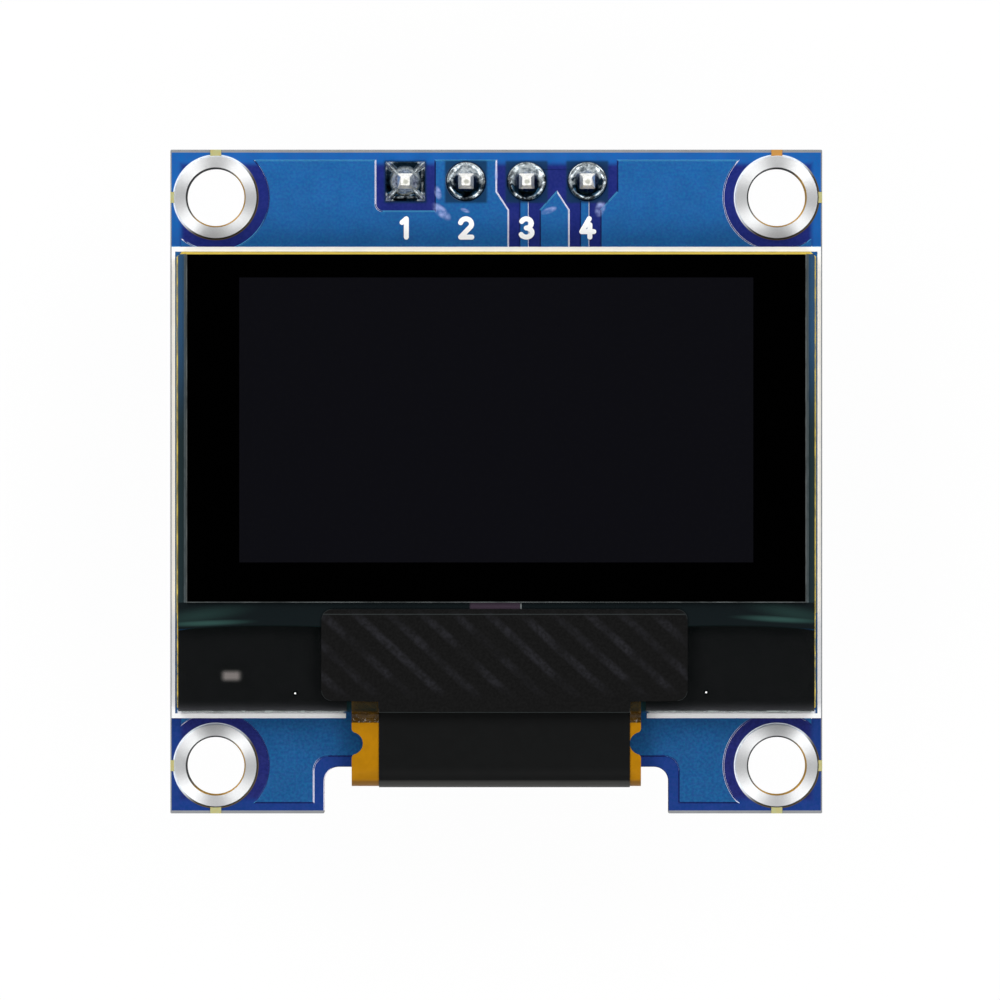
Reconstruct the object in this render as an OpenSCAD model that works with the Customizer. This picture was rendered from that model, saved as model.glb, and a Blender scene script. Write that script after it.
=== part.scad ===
// Small OLED display module: a glass panel of about 0.96 inch on a circuit board with four
// plated mounting holes, a four-pin header, and a flex tail folded round the board's lower edge.
//
// Origin: centre of the four mounting holes, on the back face of the board.
// +Z points out of the screen and +Y towards the header. All sizes are in millimetres.

/* [Circuit board] */
// Width of the board, across the screen
board_w = 27.3; // [27.2:0.1:30]
// Height of the board, from the header edge to the flex edge
board_h = 27.8; // [27.6:0.1:30]
// Thickness of the board with its copper
board_t = 1.2; // [0.8:0.1:1.6]
// Height of the copper areas above the bare laminate
copper_t = 0.04; // [0.03:0.01:0.07]
// Bare strip between a copper area and the edge of the board
copper_margin = 0.45; // [0.3:0.05:0.6]
// Width of the notch that the flex tail folds through
notch_w = 14.4; // [13:0.1:16]
// Depth of that notch
notch_depth = 1.95; // [1.5:0.05:2.4]
// Radius of the notch's two inner corners
notch_r = 0.6; // [0.3:0.05:1]

/* [Mounting holes] */
// Distance from a hole's centre to the board's side edge
hole_side = 1.9; // [1.8:0.05:2.2]
// Distance from a hole's centre to the header edge or the flex edge
hole_end = 2; // [1.9:0.05:2.1]
// Diameter of the plated hole
hole_d = 2.4; // [2:0.05:2.6]
// Outer diameter of the plated ring
ring_d = 3.5; // [3:0.05:3.7]
// Thickness of the plating on the wall of a hole
plating_t = 0.05; // [0.03:0.01:0.1]
// Height of the solder crown on a ring
crown_h = 0.04; // [0.02:0.01:0.08]
// Bare ring between a plated ring and the copper area
ring_gap = 0.49; // [0.3:0.01:0.6]
// Width of the plating bars that run from a ring to the board's edges
tie_bar_w = 0.46; // [0.2:0.02:0.8]

/* [Header] */
// Number of pins
pin_count = 4; // [2:1:6]
// Distance between pins
pin_pitch = 2.54; // [2:0.01:2.54]
// Distance from the pin row to the board's edge
pin_edge = 1.33; // [1.3:0.01:1.8]
// Width of a square pin
pin_w = 0.64; // [0.5:0.01:0.7]
// Length of a pin beyond the plastic body
pin_reach = 6; // [3:0.5:12]
// Height of a pin's tip above the front of the board
pin_stub = 0.85; // [0.6:0.05:1.5]
// Length of the chamfer at both ends of a pin
pin_chamfer = 0.2; // [0.1:0.05:0.3]
// Height of the plastic body behind the board
header_h = 2.5; // [2:0.1:3]
// Width of the plastic body, across the pin row
header_w = 2.5; // [2.2:0.02:2.54]
// Depth of the notches between the cells of the plastic body, and of its cut corners
header_chamfer = 0.4; // [0.2:0.05:0.6]
// Diameter of a plated pin hole
pin_hole_d = 0.94; // [0.92:0.01:1.1]
// Width of a solder pad
pad_w = 1.66; // [1.4:0.02:1.8]
// Height of a solder joint above its pad
solder_h = 0.55; // [0.3:0.05:0.7]

/* [Traces at the header] */
// Width of the two signal traces
trace_w = 0.38; // [0.2:0.02:0.5]
// Bare strip on both sides of a trace
trace_gap = 0.48; // [0.2:0.02:0.5]
// Sideways step of a trace from its pin
trace_shift = -0.1; // [-0.15:0.05:0.15]
// Bare strip round the square ground pad
ground_gap = 0.42; // [0.2:0.02:0.44]

/* [Panel glass] */
// Distance from the board's side edges to both glasses
glass_side = 0.3; // [0.28:0.02:1.5]
// Distance from the board's header edge to the glass
glass_drop = 4.32; // [4.26:0.02:4.6]
// Distance from the board's flex edge to the glass
glass_rise = 4.24; // [4.1:0.02:4.6]
// Thickness of the front glass
glass_t = 0.5; // [0.3:0.05:0.7]
// Chamfer at the corners of both glasses
glass_chamfer = 0.22; // [0.1:0.02:0.4]
// Thickness of the rear glass
cap_t = 0.7; // [0.5:0.05:1]
// Height of the ledge of the front glass that the rear glass leaves free
ledge_h = 3.94; // [3.6:0.02:4.4]
// Depth of the recess in the rear glass
recess_depth = 0.3; // [0.1:0.05:0.4]
// Width of the seal between the glasses
seal_w = 0.7; // [0.5:0.05:0.75]
// Thickness of the seal
seal_t = 0.05; // [0.04:0.01:0.1]
// Distance from the glass edge to the seal
seal_inset = 0.2; // [0.1:0.05:0.25]
// Thickness of the drying sheet in the recess
dryer_t = 0.15; // [0.05:0.05:0.25]
// Thickness of the adhesive tape between the rear glass and the board
tape_t = 0.25; // [0.15:0.05:0.5]
// Width of the tape that squeezes out past the glass
tape_squeeze = 0.04; // [0:0.01:0.04]

/* [Screen] */
// Distance from the glass's side edges to the polariser
polariser_side = 0.4; // [0.2:0.05:1]
// Thickness of the polariser
polariser_t = 0.2; // [0.1:0.05:0.3]
// Distance from the glass edge to the polariser, at the header side
polariser_inset = 0.04; // [0:0.02:0.2]
// Distance from the rear glass's lower edge to the polariser's
polariser_rise = 0.66; // [0.4:0.02:1.2]
// Distance from the glass's side edges to the pixel layer
pixels_side = 2.525; // [1.5:0.025:3]
// Distance from the rear glass's lower edge to the pixel layer
pixels_rise = 2.39; // [1.5:0.01:3]
// Distance from the glass edge to the pixel layer, at the header side
pixels_drop = 1.03; // [1:0.01:1.2]
// Thickness of the pixel layer
pixels_t = 0.03; // [0.01:0.01:0.04]

/* [Ledge] */
// Length of the driver chip, across the screen
driver_l = 6.8; // [5:0.1:8]
// Width of the driver chip
driver_w = 0.9; // [0.7:0.05:1.2]
// Thickness of the driver chip
driver_t = 0.3; // [0.2:0.05:0.5]
// Distance from the rear glass to the driver chip
driver_gap = 0.6; // [0.4:0.05:0.8]
// Light shield tape beyond both sides of the flex tail
shield_side = 1.6; // [0.8:0.1:2.5]
// Distance from the glass's lower edge to the light shield tape without its tab
shield_rise = 0.49; // [0.4:0.01:0.8]
// Thickness of the light shield tape
shield_t = 0.08; // [0.05:0.01:0.2]
// Gap between the polariser and the light shield tape
shield_gap = 0.27; // [0.1:0.01:0.3]
// Radius of the light shield tape's corners
shield_r = 0.45; // [0.2:0.05:1]
// Sideways step of the light shield tape and of the coverlay
shield_shift = 0.34; // [-0.4:0.02:0.4]
// Gap between the flex tail and a support pad behind the ledge
support_side = 0.2; // [0.1:0.05:0.8]
// Gap between the rear glass and a support pad
support_drop = 0.25; // [0.1:0.05:0.5]
// Gap between a support pad and the front glass's outer edges
support_inset = 0.05; // [0.05:0.05:0.3]
// Radius of the arch at the top of a support pad
support_arch_r = 24; // [16:1:40]

/* [Flex tail] */
// Gap between the flex tail and a side of the board's notch
flex_play = 1.15; // [0.6:0.05:1.6]
// Thickness of the flex tail
flex_t = 0.1; // [0.06:0.02:0.14]
// Length of the flex tail that is bonded to the ledge
flex_bond = 1.2; // [0.8:0.1:1.4]
// Inner radius of the fold's two bends
fold_r = 0.7; // [0.5:0.05:0.8]
// Radius of the locating notches in the sides of the flex tail
locator_r = 0.47; // [0.3:0.01:0.5]
// Radius of the rounds at the mouth of a locating notch
locator_round = 0.18; // [0.1:0.02:0.2]
// Distance from the board's notch to the middle of the locating notches
locator_y = 1; // [0.8:0.05:1.1]
// Bare film beside the coverlay, at the fold
coverlay_side = 0.8; // [0.5:0.05:1.4]
// Thickness of the coverlay
coverlay_t = 0.05; // [0.03:0.01:0.08]
// Length of the flex tail behind the board before it widens
neck_l = 2.4; // [2:0.1:2.8]
// Length of the wide end of the flex tail
tail_l = 3.2; // [2.5:0.1:4]
// Radius of the corners where the neck widens
tail_r = 0.8; // [0.4:0.1:1.2]
// Number of solder joints in the row
joint_count = 30; // [20:1:30]
// Distance between the solder joints in the row
joint_pitch = 0.7; // [0.6:0.01:0.7]
// Width of a solder joint in the row
joint_w = 0.42; // [0.3:0.02:0.5]
// Length of a solder joint in the row
joint_l = 1.5; // [1:0.1:2]
// Flex beyond the outer solder joints
tail_margin = 0.45; // [0.3:0.05:0.6]
// Height of the glue bead at the glass edge
glue_h = 0.36; // [0.2:0.02:0.4]
// Length of the glue bead on the flex tail
glue_l = 0.42; // [0.3:0.02:0.5]

/* [Printed frame] */
// Width of the printed line round the panel
print_w = 0.2; // [0.1:0.02:0.24]
// Width of the printed line beside the panel
print_side_w = 0.15; // [0.1:0.01:0.18]
// Thickness of the print
print_t = 0.02; // [0.01:0.01:0.04]
// Gap between the glass and the printed line
print_gap = 0.05; // [0.04:0.01:0.1]
// Gap in the lower printed line on both sides of the flex tail
print_break = 0.25; // [0.1:0.05:0.5]

/* [Small parts behind the board] */
// Length of a chip part
chip_l = 1.6; // [1:0.1:1.6]
// Width of a chip part
chip_w = 0.8; // [0.5:0.1:0.8]
// Height of a chip capacitor
capacitor_h = 0.8; // [0.5:0.05:0.9]
// Height of a chip resistor
resistor_h = 0.45; // [0.3:0.05:0.6]
// Length of a chip part's metal ends
chip_end = 0.32; // [0.2:0.02:0.4]
// Height of a chip part's metal ends above its body
chip_step = 0.03; // [0.02:0.01:0.05]
// Length of the solder fillet at a chip part's ends
fillet_l = 0.3; // [0.2:0.02:0.4]
// Length of the regulator's body
regulator_l = 2.9; // [2.8:0.05:3.1]
// Width of the regulator's body
regulator_w = 1.3; // [1.2:0.05:1.5]
// Height of the regulator's body
regulator_h = 1; // [0.9:0.05:1.1]
// Length of the diode's body
diode_l = 1.7; // [1.5:0.05:1.9]
// Width of the diode's body
diode_w = 1.25; // [1.1:0.05:1.4]
// Height of the diode's body
diode_h = 0.9; // [0.8:0.05:1.1]
// Length of a lead from the body to its toe
lead_l = 0.55; // [0.45:0.05:0.7]
// Width of a regulator lead
lead_w = 0.4; // [0.3:0.02:0.5]
// Thickness of a lead
lead_t = 0.13; // [0.08:0.01:0.18]
// Height of a moulded body above the board
body_gap = 0.06; // [0.02:0.02:0.1]
// Slope of a moulded body's sides, as an inset at its top
body_draft = 0.1; // [0.05:0.01:0.15]

/* [Hidden] */
$fn = 48;
eps = 0.01;

capacitor_count = 7;
resistor_count = 8;

// Heights of the layers, from the back face of the board to the screen
laminate_z = board_t - copper_t;
rear_glass_z = board_t + tape_t;
seal_z = rear_glass_z + cap_t;
glass_z = seal_z + seal_t;
glass_front_z = glass_z + glass_t;

// The four holes, starting at the header side and on the left
hole_x = board_w / 2 - hole_side;
hole_y = board_h / 2 - hole_end;
HOLES = [[-hole_x, hole_y], [hole_x, hole_y], [-hole_x, -hole_y], [hole_x, -hole_y]];
hole_r = hole_d / 2;
ring_r = ring_d / 2;
notch_y = notch_depth - board_h / 2;

// The pin row
pin_y = board_h / 2 - pin_edge;
function pin_x(i) = (i - (pin_count + 1) / 2) * pin_pitch;
ground_pin = 1;
signal_pins = [pin_count - 1, pin_count];
flare_top = 0.43;
flare_bottom = 1.2;
flare_half = pin_pitch / 2;

// Widths that follow the board's notch
flex_w = notch_w - 2 * flex_play;
coverlay_w = flex_w - 2 * coverlay_side;
shield_w = flex_w + 2 * shield_side;

// Edges of the panel
glass_w = board_w - 2 * glass_side;
glass_top = board_h / 2 - glass_drop;
glass_bottom = glass_rise - board_h / 2;
glass_h = glass_top - glass_bottom;
cap_bottom = glass_bottom + ledge_h;
cap_h = glass_top - cap_bottom;
polariser_top = glass_top - polariser_inset;
polariser_bottom = cap_bottom + polariser_rise;
pixels_top = glass_top - pixels_drop;
pixels_bottom = cap_bottom + pixels_rise;
shield_top = polariser_bottom - shield_gap;
shield_bottom = glass_bottom + shield_rise;
frame_top = glass_top + print_gap + print_w;
frame_bottom = glass_bottom - print_gap - print_w;
frame_half = glass_w / 2 + 2 * print_gap + print_side_w;

// The wide end of the flex tail
tail_w = (joint_count - 1) * joint_pitch + joint_w + 2 * tail_margin;
neck_y = notch_y + neck_l;
tail_y = neck_y + tail_l;
joint_h = flex_t + coverlay_t + joint_w / 2;

// Places of the small parts behind the board: x, y and turn
CAPACITORS = [[-8.6, -2.6, 90], [-5.2, -2.6, 90], [-1.8, -2.6, 90], [1.6, -2.6, 90],
              [5, -2.6, 90], [8.4, -2.6, 90], [3.2, 5.8, 90]];
RESISTORS = [[-9.6, 1.6, 0], [-6.6, 1.6, 0], [-3.6, 1.6, 0], [-0.6, 1.6, 0],
             [2.4, 1.6, 0], [-2.6, 8.6, 0], [-5.8, 8.6, 0], [6.6, 1.6, 0]];
regulator_place = [7.4, 6.6];
diode_place = [-7.6, 5.2];
regulator_pitch = 0.95;
diode_lead_w = 0.3;

module at_holes() {
    for (place = HOLES) translate(place) children();
}

module rounded_square(size, r) {
    translate([-size.x / 2 + r, -size.y / 2]) square([size.x - 2 * r, size.y]);
    translate([-size.x / 2, -size.y / 2 + r]) square([size.x, size.y - 2 * r]);
    for (sx = [-1, 1], sy = [-1, 1])
        translate([sx * (size.x / 2 - r), sy * (size.y / 2 - r)]) circle(r);
}

// A rectangle with its corners cut, centred across and hung from its upper edge
module glass_outline(w, h, cut) {
    polygon([[-w / 2 + cut, 0], [w / 2 - cut, 0], [w / 2, -cut], [w / 2, cut - h],
             [w / 2 - cut, -h], [cut - w / 2, -h], [-w / 2, cut - h], [-w / 2, -cut]]);
}

// The notch at the board's lower edge, or the bare strip round it
module notch_outline(grow = 0) {
    half = notch_w / 2 + grow;
    top = notch_y + grow;
    low = -board_h / 2 - 1;
    translate([-half, low]) square([2 * half, top - notch_r - low]);
    translate([notch_r - half, low]) square([2 * (half - notch_r), top - low]);
    for (side = [-1, 1]) translate([side * (half - notch_r), top - notch_r]) circle(notch_r);
}

module board_outline() {
    difference() {
        square([board_w, board_h], center = true);
        notch_outline();
    }
}

module pad_outline(i) {
    if (i == ground_pin) square(pad_w, center = true);
    else circle(pad_w / 2);
}

// The bare strip round a signal pad, which narrows to the strips beside its trace
module signal_gap() {
    outer = trace_w / 2 + trace_gap;
    low = glass_top - pin_y;
    difference() {
        polygon([[-flare_half, pin_edge + 1], [-flare_half, -flare_top],
                 [trace_shift - outer, -flare_bottom], [trace_shift - outer, low],
                 [trace_shift + outer, low], [trace_shift + outer, -flare_bottom],
                 [flare_half, -flare_top], [flare_half, pin_edge + 1]]);
        translate([trace_shift - trace_w / 2, low - eps]) square([trace_w, -low + eps]);
    }
}

// The bare strip round the square pad, with one rounded corner
module ground_pad_gap() {
    half = pad_w / 2 + ground_gap;
    r = 0.3;
    translate([-half + r, -half]) square([2 * half - r, half + pin_edge + 1]);
    translate([-half, -half + r]) square([2 * half, half + pin_edge + 1 - r]);
    translate([-half + r, -half + r]) circle(r);
}

// Copper under the solder mask at the front: wide areas, cut by bare strips
module front_copper() {
    inner_w = board_w - 2 * copper_margin;
    top = board_h / 2 - copper_margin;
    difference() {
        union() {
            translate([-board_w, frame_bottom]) square([2 * board_w, frame_top - frame_bottom]);
            translate([-inner_w / 2, -top]) square([inner_w, 2 * top]);
        }
        at_holes() circle(ring_r + ring_gap);
        notch_outline(copper_margin);
        translate([pin_x(ground_pin), pin_y]) ground_pad_gap();
        for (i = signal_pins) translate([pin_x(i), pin_y]) signal_gap();
        for (i = [1:pin_count]) translate([pin_x(i), pin_y]) pad_outline(i);
    }
}

module back_copper() {
    inner_w = board_w - 2 * copper_margin;
    inner_h = board_h - 2 * copper_margin;
    difference() {
        square([inner_w, inner_h], center = true);
        at_holes() circle(ring_r + ring_gap);
        notch_outline(copper_margin);
        for (i = [1:pin_count]) translate([pin_x(i), pin_y]) circle(pad_w / 2 + ground_gap);
    }
}

// One glass-fibre board, with its copper areas standing a little proud on both faces
module circuit_board() {
    color("#1f5a98") difference() {
        linear_extrude(board_t) board_outline();
        translate([0, 0, laminate_z]) linear_extrude(2 * copper_t) difference() {
            square([2 * board_w, 2 * board_h], center = true);
            front_copper();
        }
        translate([0, 0, -copper_t]) linear_extrude(2 * copper_t) difference() {
            square([2 * board_w, 2 * board_h], center = true);
            back_copper();
        }
        at_holes() translate([0, 0, -1]) cylinder(r = hole_r + plating_t, h = board_t + 2);
        for (i = [1:pin_count]) translate([pin_x(i), pin_y, -1])
            cylinder(d = pin_hole_d + 2 * plating_t, h = board_t + 2);
    }
}

// Section of a plated ring: the flat copper, and the low crown of solder on it
module ring_section() {
    w = ring_r - hole_r;
    crown_r = (w * w / 4 + crown_h * crown_h) / (2 * crown_h);
    translate([hole_r, -copper_t]) square([w, copper_t]);
    intersection() {
        translate([hole_r + w / 2, crown_h - crown_r]) circle(crown_r);
        translate([hole_r, -eps]) square([w, 1]);
    }
}

// Plated hole: a ring on both faces, the barrel between them, and its bars to the edges
module hole_ring(i) {
    place = HOLES[i - 1];
    side = sign(place.x);
    end = sign(place.y);
    color("silver") translate(place) {
        rotate_extrude() {
            translate([0, board_t]) ring_section();
            mirror([0, 1]) ring_section();
            translate([hole_r, 0]) square([plating_t, board_t]);
        }
        difference() {
            translate([0, 0, laminate_z]) linear_extrude(copper_t) {
                bar_left = side < 0 ? -hole_side : 0;
                bar_low = end < 0 ? -hole_end : 0;
                translate([bar_left, -tie_bar_w / 2]) square([hole_side, tie_bar_w]);
                translate([-tie_bar_w / 2, bar_low]) square([tie_bar_w, hole_end]);
            }
            translate([0, 0, -1]) cylinder(r = hole_r + plating_t, h = board_t + 2);
        }
    }
}

module pin_pad(i) {
    barrel_r = pin_hole_d / 2 + plating_t;
    color("silver") translate([pin_x(i), pin_y, 0]) difference() {
        union() {
            translate([0, 0, laminate_z]) linear_extrude(copper_t) pad_outline(i);
            cylinder(r = barrel_r, h = board_t);
            linear_extrude(copper_t) pad_outline(i);
        }
        translate([0, 0, -1]) cylinder(d = pin_hole_d, h = board_t + 2);
    }
}

// Side view of a pin: square, with both ends chamfered
module pin_profile(low, high) {
    tip = pin_w / 2 - pin_chamfer * 0.7;
    polygon([[-tip, low], [tip, low], [pin_w / 2, low + pin_chamfer],
             [pin_w / 2, high - pin_chamfer], [tip, high], [-tip, high],
             [-pin_w / 2, high - pin_chamfer], [-pin_w / 2, low + pin_chamfer]]);
}

module header_pin(i) {
    low = -header_h - pin_reach;
    high = board_t + pin_stub;
    color("gainsboro") translate([pin_x(i), pin_y, 0]) intersection() {
        rotate([90, 0, 0]) linear_extrude(pin_w, center = true) pin_profile(low, high);
        rotate([90, 0, 90]) linear_extrude(pin_w, center = true) pin_profile(low, high);
    }
}

// Solder joint: fills the plated hole round the pin and climbs it as a hollow-sided cone
module pin_solder(i) {
    top_r = pin_w * 0.72;
    base_r = pad_w / 2;
    color("lightgray") translate([pin_x(i), pin_y, 0]) difference() {
        rotate_extrude() {
            square([pin_hole_d / 2, board_t + eps]);
            translate([0, board_t]) difference() {
                square([base_r, solder_h]);
                translate([base_r, solder_h]) scale([1, solder_h / (base_r - top_r)])
                    circle(base_r - top_r);
            }
        }
        linear_extrude(3 * (board_t + solder_h), center = true) square(pin_w, center = true);
    }
}

// Plastic body of the header: one bar, notched between its cells and cut at its corners
module header_body() {
    color("#202022") translate([0, pin_y, -header_h]) linear_extrude(header_h) difference() {
        square([pin_count * pin_pitch, header_w], center = true);
        for (i = [0:pin_count], side = [-1, 1])
            translate([(i - pin_count / 2) * pin_pitch, side * header_w / 2]) rotate(45)
                square(header_chamfer * sqrt(2), center = true);
        for (i = [1:pin_count]) translate([pin_x(i), 0]) square(pin_w, center = true);
    }
}

// White line printed round the panel, open where the flex tail passes over it
module printed_frame() {
    inner_half = frame_half - print_side_w;
    break_half = flex_w / 2 + print_break;
    color("white") translate([0, 0, board_t]) linear_extrude(print_t) difference() {
        translate([-frame_half, frame_bottom]) square([2 * frame_half, frame_top - frame_bottom]);
        translate([-inner_half, frame_bottom + print_w])
            square([2 * inner_half, frame_top - frame_bottom - 2 * print_w]);
        translate([-break_half, frame_bottom - 1]) square([2 * break_half, print_w + 2]);
    }
}

module adhesive_tape() {
    w = glass_w + 2 * tape_squeeze;
    h = cap_h + tape_squeeze;
    color("#d9c777") translate([0, glass_top + tape_squeeze, board_t]) linear_extrude(tape_t)
        glass_outline(w, h, glass_chamfer);
}

// Outline of the room between the glasses, inside the seal
module room_outline() {
    inset = seal_inset + seal_w;
    translate([0, glass_top - inset]) glass_outline(glass_w - 2 * inset, cap_h - 2 * inset, 0.5);
}

// Rear glass, with a recess etched in its face for the drying sheet
module rear_glass() {
    color("#3c5560", 0.5) difference() {
        translate([0, glass_top, rear_glass_z]) linear_extrude(cap_t)
            glass_outline(glass_w, cap_h, glass_chamfer);
        translate([0, 0, seal_z - recess_depth]) linear_extrude(recess_depth + 1) room_outline();
    }
}

module seal() {
    color("#b8b49a") translate([0, 0, seal_z]) linear_extrude(seal_t) difference() {
        translate([0, glass_top - seal_inset])
            glass_outline(glass_w - 2 * seal_inset, cap_h - 2 * seal_inset, 0.5);
        room_outline();
    }
}

module drying_sheet() {
    inset = seal_inset + seal_w + 0.6;
    color("#d8d6cc") translate([0, glass_top - inset, seal_z - recess_depth])
        linear_extrude(dryer_t) glass_outline(glass_w - 2 * inset, cap_h - 2 * inset, 0.5);
}

module pixel_layer() {
    w = glass_w - 2 * pixels_side;
    color("#16161c") translate([-w / 2, pixels_bottom, glass_z - pixels_t])
        cube([w, pixels_top - pixels_bottom, pixels_t]);
}

module front_glass() {
    color("#4a6468", 0.5) translate([0, glass_top, glass_z]) linear_extrude(glass_t)
        glass_outline(glass_w, glass_h, glass_chamfer);
}

module polariser() {
    w = glass_w - 2 * polariser_side;
    color("#050506") translate([-w / 2, polariser_bottom, glass_front_z])
        cube([w, polariser_top - polariser_bottom, polariser_t]);
}

module driver_chip() {
    y = cap_bottom - driver_gap - driver_w;
    color("#6a5a78") translate([-driver_l / 2, y, glass_z - driver_t])
        cube([driver_l, driver_w, driver_t]);
}

// Black tape over the ledge, with a tab that reaches the glass edge
module light_shield() {
    middle_y = (shield_top + shield_bottom) / 2;
    color("#1b1b1c") translate([shield_shift, 0, glass_front_z]) linear_extrude(shield_t) {
        translate([0, middle_y]) rounded_square([shield_w, shield_top - shield_bottom], shield_r);
        translate([-coverlay_w / 2, glass_bottom]) square([coverlay_w, middle_y - glass_bottom]);
    }
}

// Dark pad between the board and the ledge, arched at its upper edge
module ledge_support(side) {
    top = cap_bottom - support_drop;
    low = glass_bottom + support_inset;
    inner = flex_w / 2 + support_side;
    w = glass_w / 2 - support_inset - inner;
    color("#151517") translate([side * (inner + w / 2), 0, board_t])
        linear_extrude(glass_z - board_t) intersection() {
            translate([-w / 2, low]) square([w, top - low]);
            translate([0, top - support_arch_r]) circle(support_arch_r);
        }
}

// The bent stretch of a layer of the tail, from its inner radius to its outer radius.
// Its straight ends lie at the board's notch, one at the front and one behind the board.
module fold_section(inner) {
    high = glass_z - flex_t + inner;
    low = -inner;
    r = fold_r + inner;
    intersection() {
        union() {
            translate([-r, low + r]) square([2 * r, high - low - 2 * r]);
            for (z = [low + r, high - r]) translate([0, z]) circle(r);
            translate([0, low]) square([r, high - low]);
        }
        translate([-2 * r, low]) square([2 * r, high - low]);
    }
}

module folded_layer(w, inner, t) {
    translate([-w / 2, notch_y, 0]) rotate([90, 0, 90]) linear_extrude(w) difference() {
        fold_section(inner + t);
        fold_section(inner);
    }
}

// A locating notch: a round cut whose mouth is rounded on both sides
module locator_cut() {
    reach = sqrt(pow(locator_r + locator_round, 2) - pow(locator_round, 2));
    circle(locator_r);
    difference() {
        translate([-locator_round, -reach]) square([1, 2 * reach]);
        for (end = [-1, 1]) translate([-locator_round, end * reach]) circle(locator_round);
    }
}

module tail_outline(neck_w, end_w, high) {
    translate([-neck_w / 2, notch_y]) square([neck_w, high - notch_y]);
    translate([0, (neck_y + high) / 2]) rounded_square([end_w, high - neck_y], tail_r / 2);
    for (side = [-1, 1]) difference() {
        translate([side * (neck_w + tail_r) / 2, neck_y - tail_r / 2])
            square([tail_r + 2 * eps, tail_r + 2 * eps], center = true);
        translate([side * (neck_w / 2 + tail_r), neck_y - tail_r]) circle(tail_r);
    }
}

// Flex tail: bonded behind the ledge, folded round the board, and spread over its back
module flex_tail() {
    bond_y = glass_bottom + flex_bond;
    color("#b9820f") {
        translate([0, 0, glass_z - flex_t]) linear_extrude(flex_t) difference() {
            translate([-flex_w / 2, notch_y]) square([flex_w, bond_y - notch_y]);
            for (side = [-1, 1]) scale([side, 1])
                translate([flex_w / 2, notch_y + locator_y]) locator_cut();
        }
        folded_layer(flex_w, 0, flex_t);
        translate([0, 0, -flex_t]) linear_extrude(flex_t) tail_outline(flex_w, tail_w, tail_y);
    }
}

// Black coverlay on the outer side of the flex tail
module coverlay() {
    end_w = tail_w - 2 * tail_margin;
    color("#1b1b1b") {
        translate([shield_shift - coverlay_w / 2, notch_y, glass_z])
            cube([coverlay_w, glass_bottom - notch_y, coverlay_t]);
        translate([shield_shift, 0, 0]) folded_layer(coverlay_w, flex_t, coverlay_t);
        translate([0, 0, -flex_t - coverlay_t]) linear_extrude(coverlay_t) {
            translate([shield_shift - coverlay_w / 2, notch_y])
                square([coverlay_w, neck_y + tail_margin - notch_y]);
            tail_low = neck_y + tail_margin;
            tail_high = tail_y - joint_l / 2;
            translate([-end_w / 2, tail_low]) square([end_w, tail_high - tail_low]);
        }
    }
}

// Row of solder beads that join the tail's end to the board
module flex_solder_row() {
    first = -(joint_count - 1) / 2 * joint_pitch;
    color("lightgray") for (i = [0:joint_count - 1]) translate([first + i * joint_pitch, tail_y, 0])
        difference() {
            rotate([90, 0, 0]) linear_extrude(joint_l, center = true) intersection() {
                translate([0, joint_w / 2 - joint_h]) circle(joint_w / 2);
                translate([-joint_w, -2 * joint_h]) square([2 * joint_w, 2 * joint_h]);
            }
            translate([-joint_w, -joint_l, -flex_t]) cube([2 * joint_w, joint_l, 2 * flex_t]);
        }
}

// Clear glue in the corner between the glass edge and the bare film beside the coverlay
module glue_bead() {
    color("#8a6420", 0.6) difference() {
        translate([-flex_w / 2, glass_bottom, glass_z]) rotate([90, 0, 90]) linear_extrude(flex_w)
            difference() {
                translate([-glue_l, 0]) square([glue_l, glue_h]);
                translate([-glue_l, glue_h]) scale([glue_l / glue_h, 1])
                    circle(glue_h * 0.94, $fn = 12);
            }
        translate([shield_shift - coverlay_w / 2, glass_bottom - 2 * glue_l, glass_z - glue_h])
            cube([coverlay_w, 3 * glue_l, 3 * glue_h]);
    }
}

// Chip part lying on the back of the board: a body between two slightly larger metal ends
module chip_part(h) {
    body_l = chip_l - 2 * chip_end;
    translate([-body_l / 2, chip_step - chip_w / 2, chip_step - h])
        cube([body_l, chip_w - 2 * chip_step, h - 2 * chip_step]);
    for (side = [-1, 1]) translate([side * (chip_l - chip_end) / 2, 0, -h / 2])
        cube([chip_end, chip_w, h], center = true);
}

module capacitor(i) {
    place = CAPACITORS[i - 1];
    color("#b59a72") translate([place.x, place.y, 0]) rotate(place.z) chip_part(capacitor_h);
}

module resistor(i) {
    place = RESISTORS[i - 1];
    color("#26262a") translate([place.x, place.y, 0]) rotate(place.z) chip_part(resistor_h);
}

// Solder at both ends of every chip part, hollow towards the outside
module chip_fillets(place, h) {
    rise = h * 0.7;
    translate([place.x, place.y, 0]) rotate(place.z) for (side = [0, 180]) rotate(side)
        translate([chip_l / 2, chip_w / 2, 0]) rotate([90, 0, 0]) linear_extrude(chip_w)
            difference() {
                translate([0, -rise]) square([fillet_l, rise]);
                translate([fillet_l, -rise]) scale([1, rise / fillet_l]) circle(fillet_l * 0.9);
            }
}

module chip_solder() {
    color("lightgray") {
        for (place = CAPACITORS) chip_fillets(place, capacitor_h);
        for (place = RESISTORS) chip_fillets(place, resistor_h);
    }
}

// Moulded body with sloping long sides; it stands a little off the board on its leads
module moulded_body(l, w, h) {
    middle = -body_gap - h / 2;
    translate([-l / 2, 0, 0]) rotate([90, 0, 90]) linear_extrude(l)
        polygon([[body_draft - w / 2, -body_gap], [w / 2 - body_draft, -body_gap], [w / 2, middle],
                 [w / 2 - body_draft, -body_gap - h], [body_draft - w / 2, -body_gap - h],
                 [-w / 2, middle]]);
}

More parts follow.
